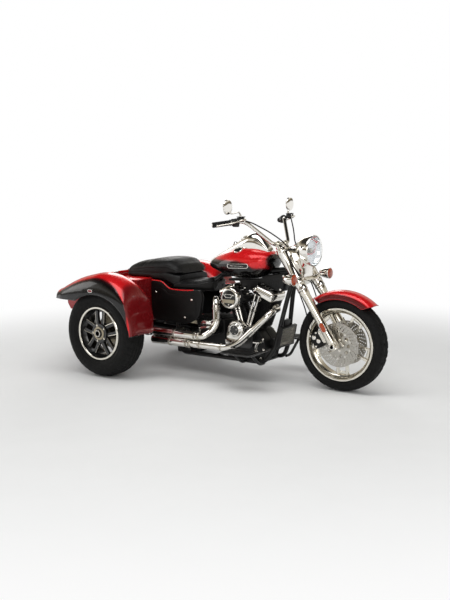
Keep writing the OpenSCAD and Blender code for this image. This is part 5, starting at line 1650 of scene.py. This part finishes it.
def handlebar_parts():
    bar = Piece("handlebar_tube", "steering", [plated_chrome, polished_alloy], ["handlebar"], "chrome")
    left = BAR_LINE[1:]
    bar.add(pipe([MIRROR @ p for p in left[::-1]] + left, 12.7, reach=34, sides=28))
    for s in (-1, 1):
        riser = FORK @ move(-40, s * 48, 0)
        bar.add(lathe([(0, 757.4), (19, 757.4), (19, 762), (16, 768), (16, 800), (20, 806), (0, 806)],
                      40), riser, 1)
        bar.add(lathe([(13, -16), (20, -16), (21, -14), (21, 14), (20, 16), (13, 16), (13, -16)], 40),
                FORK @ move(-40, s * 48, 815) @ turn("X", 90), 1)
        for u in (-16, 16):
            bar.add(bolt(4.5), FORK @ move(-40 + u, s * 48, 826), 0)
    bar.done(35)
    way = (BAR_LINE[4] - BAR_LINE[3]).normalized()
    long = (BAR_LINE[4] - BAR_LINE[3]).length
    grips = Piece("ribbed_rubber_grips", "steering", [moulded_rubber, plated_chrome], ["grips"], "rubber")
    controls = Piece("hand_control_housings", "steering", [frame_black, moulded_plastic, plated_chrome,
                                                           red_lens],
                     ["hand_controls"], "black_plastic")
    levers = Piece("cast_hand_levers", "steering", [polished_alloy, plated_chrome], ["hand_levers"],
                   "polished_alloy")
    mirrors = Piece("round_mirrors", "steering", [plated_chrome, mirror_glass], ["mirrors"], "chrome")
    signals = Piece("front_signal_lamps", "steering", [plated_chrome, amber_lens], ["front_turn_signals"],
                    "chrome")
    grip_start, grip_end = 0.36 * long, 1.04 * long
    profile = [(13, grip_start), (22, grip_start), (22, grip_start + 4), (18.4, grip_start + 6)]
    for k in range(15):
        z = grip_start + 10 + 7.4 * k
        profile += [(18, z), (19, z + 1.2), (19, z + 4.6), (18, z + 5.8)]
    profile += [(19, grip_end - 4), (17, grip_end - 1), (0, grip_end - 1)]
    for side in (PLAIN, MIRROR):
        line = side @ aim(BAR_LINE[3], way)
        grips.add(lathe(profile, 36), line)
        grips.add(lathe([(0, grip_end - 1), (11, grip_end - 1), (11, grip_end + 1), (8, grip_end + 3.5),
                         (0, grip_end + 4)], 32), line, 1)
        start, end = 0.05 * long, 0.33 * long
        controls.add(lathe([(13, start), (21, start), (24, start + 3), (24, (start + end) / 2 - 1.4),
                            (22.6, (start + end) / 2 - 1), (22.6, (start + end) / 2 + 1),
                            (24, (start + end) / 2 + 1.4), (24, end - 3), (21, end), (13, end),
                            (13, start)], 48), line)
        # switch box under the bar, with its buttons facing the rider
        at = side @ move(*along_grip(0.16, 0, 0, -19))
        controls.add(block(40, 32, 30, 6, 3), at)
        for y, z, colour in ((-7, 6, 3), (7, 6, 1), (0, -7, 1)):
            controls.add(block(5, 8, 7, 1.5), at @ move(-21, y, z), colour)
        # master cylinder with its screwed lid, and the lever's pivot lug
        at = side @ move(*along_grip(0.1, 42, 19, 18))
        controls.add(block(44, 38, 32, 5, 3), at @ move(0, 0, -3))
        controls.add(block(46, 40, 5, 1.5), at @ move(0, 0, 16.5))
        for y in (-13, 13):
            controls.add(bolt(3.2), at @ move(8, y, 19), 2)
        controls.add(lathe([(0, 0), (7, 0), (7, 2), (0, 2.6)], 24), at @ aim((-24, 0, -4), (-1, 0, 0)), 2)
        lever = [along_grip(0.1, 64, 2, 14), along_grip(0.1, 70.3, 10, 14), along_grip(0.1, 70.3, 48, 14),
                 along_grip(0.55, 70, 0, 4), along_grip(1, 46, 14, -4)]
        curve = rounded_path(lever, 30, 8)
        sizes = [8 - 2.6 * min(1, 1.5 * i / (len(curve) - 1)) for i in range(len(curve))]
        levers.add(pipe(curve, sizes, sides=16), side)
        levers.add(lathe([(0, -8), (4, -7), (7, -4), (8, 0), (7, 4), (4, 7), (0, 8)], 24),
                   side @ aim(lever[-1], way))
        levers.add(drum(6, -14, 14, 24), side @ move(*along_grip(0.1, 62, 8, 14)), 1)
        # hose from the master cylinder into the nacelle
        hose = [along_grip(0.1, 60, 4, 8), along_grip(0.1, 92, -40, -8), FORK @ Vector((16, 150, 880)),
                FORK @ Vector((24, 70, 790)), FORK @ Vector((24, 56, 728))]
        controls.add(pipe(hose, 4.4, reach=60, sides=12), side, 1)
        centre = Vector((364, 395, 1240))
        stem = [along_grip(0.1, 32, 12, 38), along_grip(0.1, 32, 12, 50), along_grip(0.1, 30, 26, 66),
                centre + Vector((2, -30, -46)), centre + Vector((1, -22, -34))]
        mirrors.add(pipe(stem, 5, reach=24, sides=16), side)
        mirrors.add(lathe([(0, 0), (9, 0), (9, 8), (6, 12), (0, 12)], 6),
                    side @ move(*along_grip(0.1, 32, 12, 38)))
        shell = side @ aim(centre - Vector((8, 0, 0)), (1, 0, 0))
        mirrors.add(lathe([(47, 1.4), (48, 0), (50, 1), (50.2, 5), (48, 9.4), (40, 12.8), (24, 15.2),
                           (0, 16)], 72), shell)
        mirrors.add(lathe([(0, 1.6), (47.5, 1.6)], 72), shell, 1)
        lamp = side @ aim((720, 245, 760), (1, 0, 0))
        signals.add(lathe([(0, -20), (12, -18), (22, -12), (30, 6), (36, 30), (38, 50), (39.4, 56),
                           (39.4, 63), (37, 65), (34, 64)], 56), lamp)
        signals.add(lathe([(36.4, 60), (36, 66), (32, 70), (20, 73), (0, 74)], 56), lamp, 1)
        signals.add(pipe([(742, 245, 760), (730, 205, 752), FORK @ Vector((4, 152, 520))], 8.4, reach=30,
                         sides=20),
                    side)
        signals.add(lathe([(0, 0), (15, 0), (15, 6), (12, 9), (0, 9)], 32),
                    side @ FORK @ aim((4, 150, 520), (0, 1, 0)))
    grips.done(30)
    controls.done(35)
    levers.done(50)
    mirrors.done(40)
    signals.done(40)


def front_brakes_and_axle():
    calipers = Piece("front_brake_calipers", "steering", [caliper_black, plated_chrome, moulded_rubber],
                     ["front_calipers"], "caliper_black")
    cheek = fillet([(-68, 60), (-68, 148), (-90, 155), (-143, 155), (-143, 52), (-122, 46), (-84, 46)],
                   16)
    bridge = fillet([(-78, 155), (-143, 155), (-143, 68), (-138, 82), (-122, 103), (-104, 122),
                     (-88, 138)], 6)
    for s in (-1, 1):
        for y, thick in ((48.3, 12.4), (86, 28)):
            calipers.add(plate(cheek, thick, 3), FORK @ upright(s * y))
        calipers.add(plate(bridge, 57, 3), FORK @ upright(s * 71))
        for u, w in ((-96, 88), (-114, 124)):
            calipers.add(lathe([(0, 0), (15, 0), (15, 3), (12, 5), (5, 5), (4, 3), (0, 3)], 32),
                         FORK @ aim((u, s * 99.8, w), (0, s, 0)), 1)
        for u, w in ((-132, 66), (-84, 144), (-134, 146)):
            calipers.add(bolt(4.6), FORK @ aim((u, s * 99.8, w), (0, s, 0)), 1)
        # hose up to the lower clamp
        hose = [(-120, s * 84, 154), (-124, s * 84, 200), (-74, s * 92, 300), (-48, s * 100, 420),
                (-34, s * 96, 492)]
        calipers.add(pipe([FORK @ Vector(p) for p in hose], 4.2, reach=60, sides=12), finish=2)
    calipers.done(35)
    axle = Piece("front_axle_and_nuts", "steering", [plated_chrome], ["front_axle"], "steel")
    axle.add(drum(12.3, -150, 150, 32), along_y(*FRONT))
    for s in (-1, 1):
        axle.add(lathe([(0, 0), (19, 0), (19, 2), (17, 3), (0, 3)], 40),
                 aim((FRONT[0], s * 153, FRONT[1]), (0, s, 0)))
        axle.add(lathe([(0, 0), (17, 0), (17, 5), (14, 8), (0, 8)], 6), aim((FRONT[0], s * 148, FRONT[1]),
                                                                            (0, s, 0)))
        axle.add(collar(13, 21, 62, 80, 32), aim((FRONT[0], 0, FRONT[1]), (0, s, 0)))
    axle.done(35)


def main_frame():
    tubes = Piece("welded_tube_frame", "chassis", [frame_black, plated_chrome], ["frame"], "black_paint")
    neck = FORK @ move(STEM_U, 0, 0)
    tubes.add(lathe([(16, 516), (31, 516), (32, 520), (32, 726), (31, 729), (16, 729), (16, 516)], 48),
              neck)
    for w in (517, 719):
        tubes.add(lathe([(31, w), (34, w + 1), (34, w + 8), (31, w + 9), (31, w)], 48), neck, 1)
    mid = FORK @ Vector((STEM_U, 0, 622.5)) - Vector((0, 0, 10))
    back = Vector((30, 0, 738))
    tubes.add(pipe([mid, back], 22, sides=32))
    for side in (PLAIN, MIRROR):
        rail = [FORK @ Vector((-66, 14, 560)), FORK @ Vector((-150, 26, 500)), (530, 90, 240),
                (470, 130, 150), (-262, 130, 150), (-300, 130, 254), (-300, 120, 600)]
        tubes.add(pipe(rail, 16, reach=46, sides=28), side)
        tubes.add(pipe([back, (-110, 120, 600), (-479, 120, 600)], 16, reach=46, sides=28), side)
        web = fillet([(-300, 150), (-180, 150), (-184, 320), (-216, 346), (-300, 346)], 12)
        tubes.add(plate(web, 9.6, 1.5), side @ upright(135))
        tubes.add(bolt(9), side @ aim((-215, 139.8, 300), (0, 1, 0)), 1)
        for x, z in ((-290, 190), (-196, 190)):
            tubes.add(bolt(6), side @ aim((x, 139.8, z), (0, 1, 0)), 1)
        gusset = fillet([(0, -30), (86, -12), (86, 12), (0, 30)], 8)
        tubes.add(plate(gusset, 6, 1), side @ move(mid.x - 98, 16, mid.z - 28) @ turn("X", 90)
                  @ turn("Z", 17))
    for x in (420, 20):
        tubes.add(block(40, 250, 12, 2), move(x, 0, 144))
    tubes.add(pipe([(-300, -120, 600), (-300, 120, 600)], 14, sides=24))
    tubes.done(40)


main_frame()
fork_legs()
triple_clamps()
headlamp_parts()
handlebar_parts()
front_brakes_and_axle()
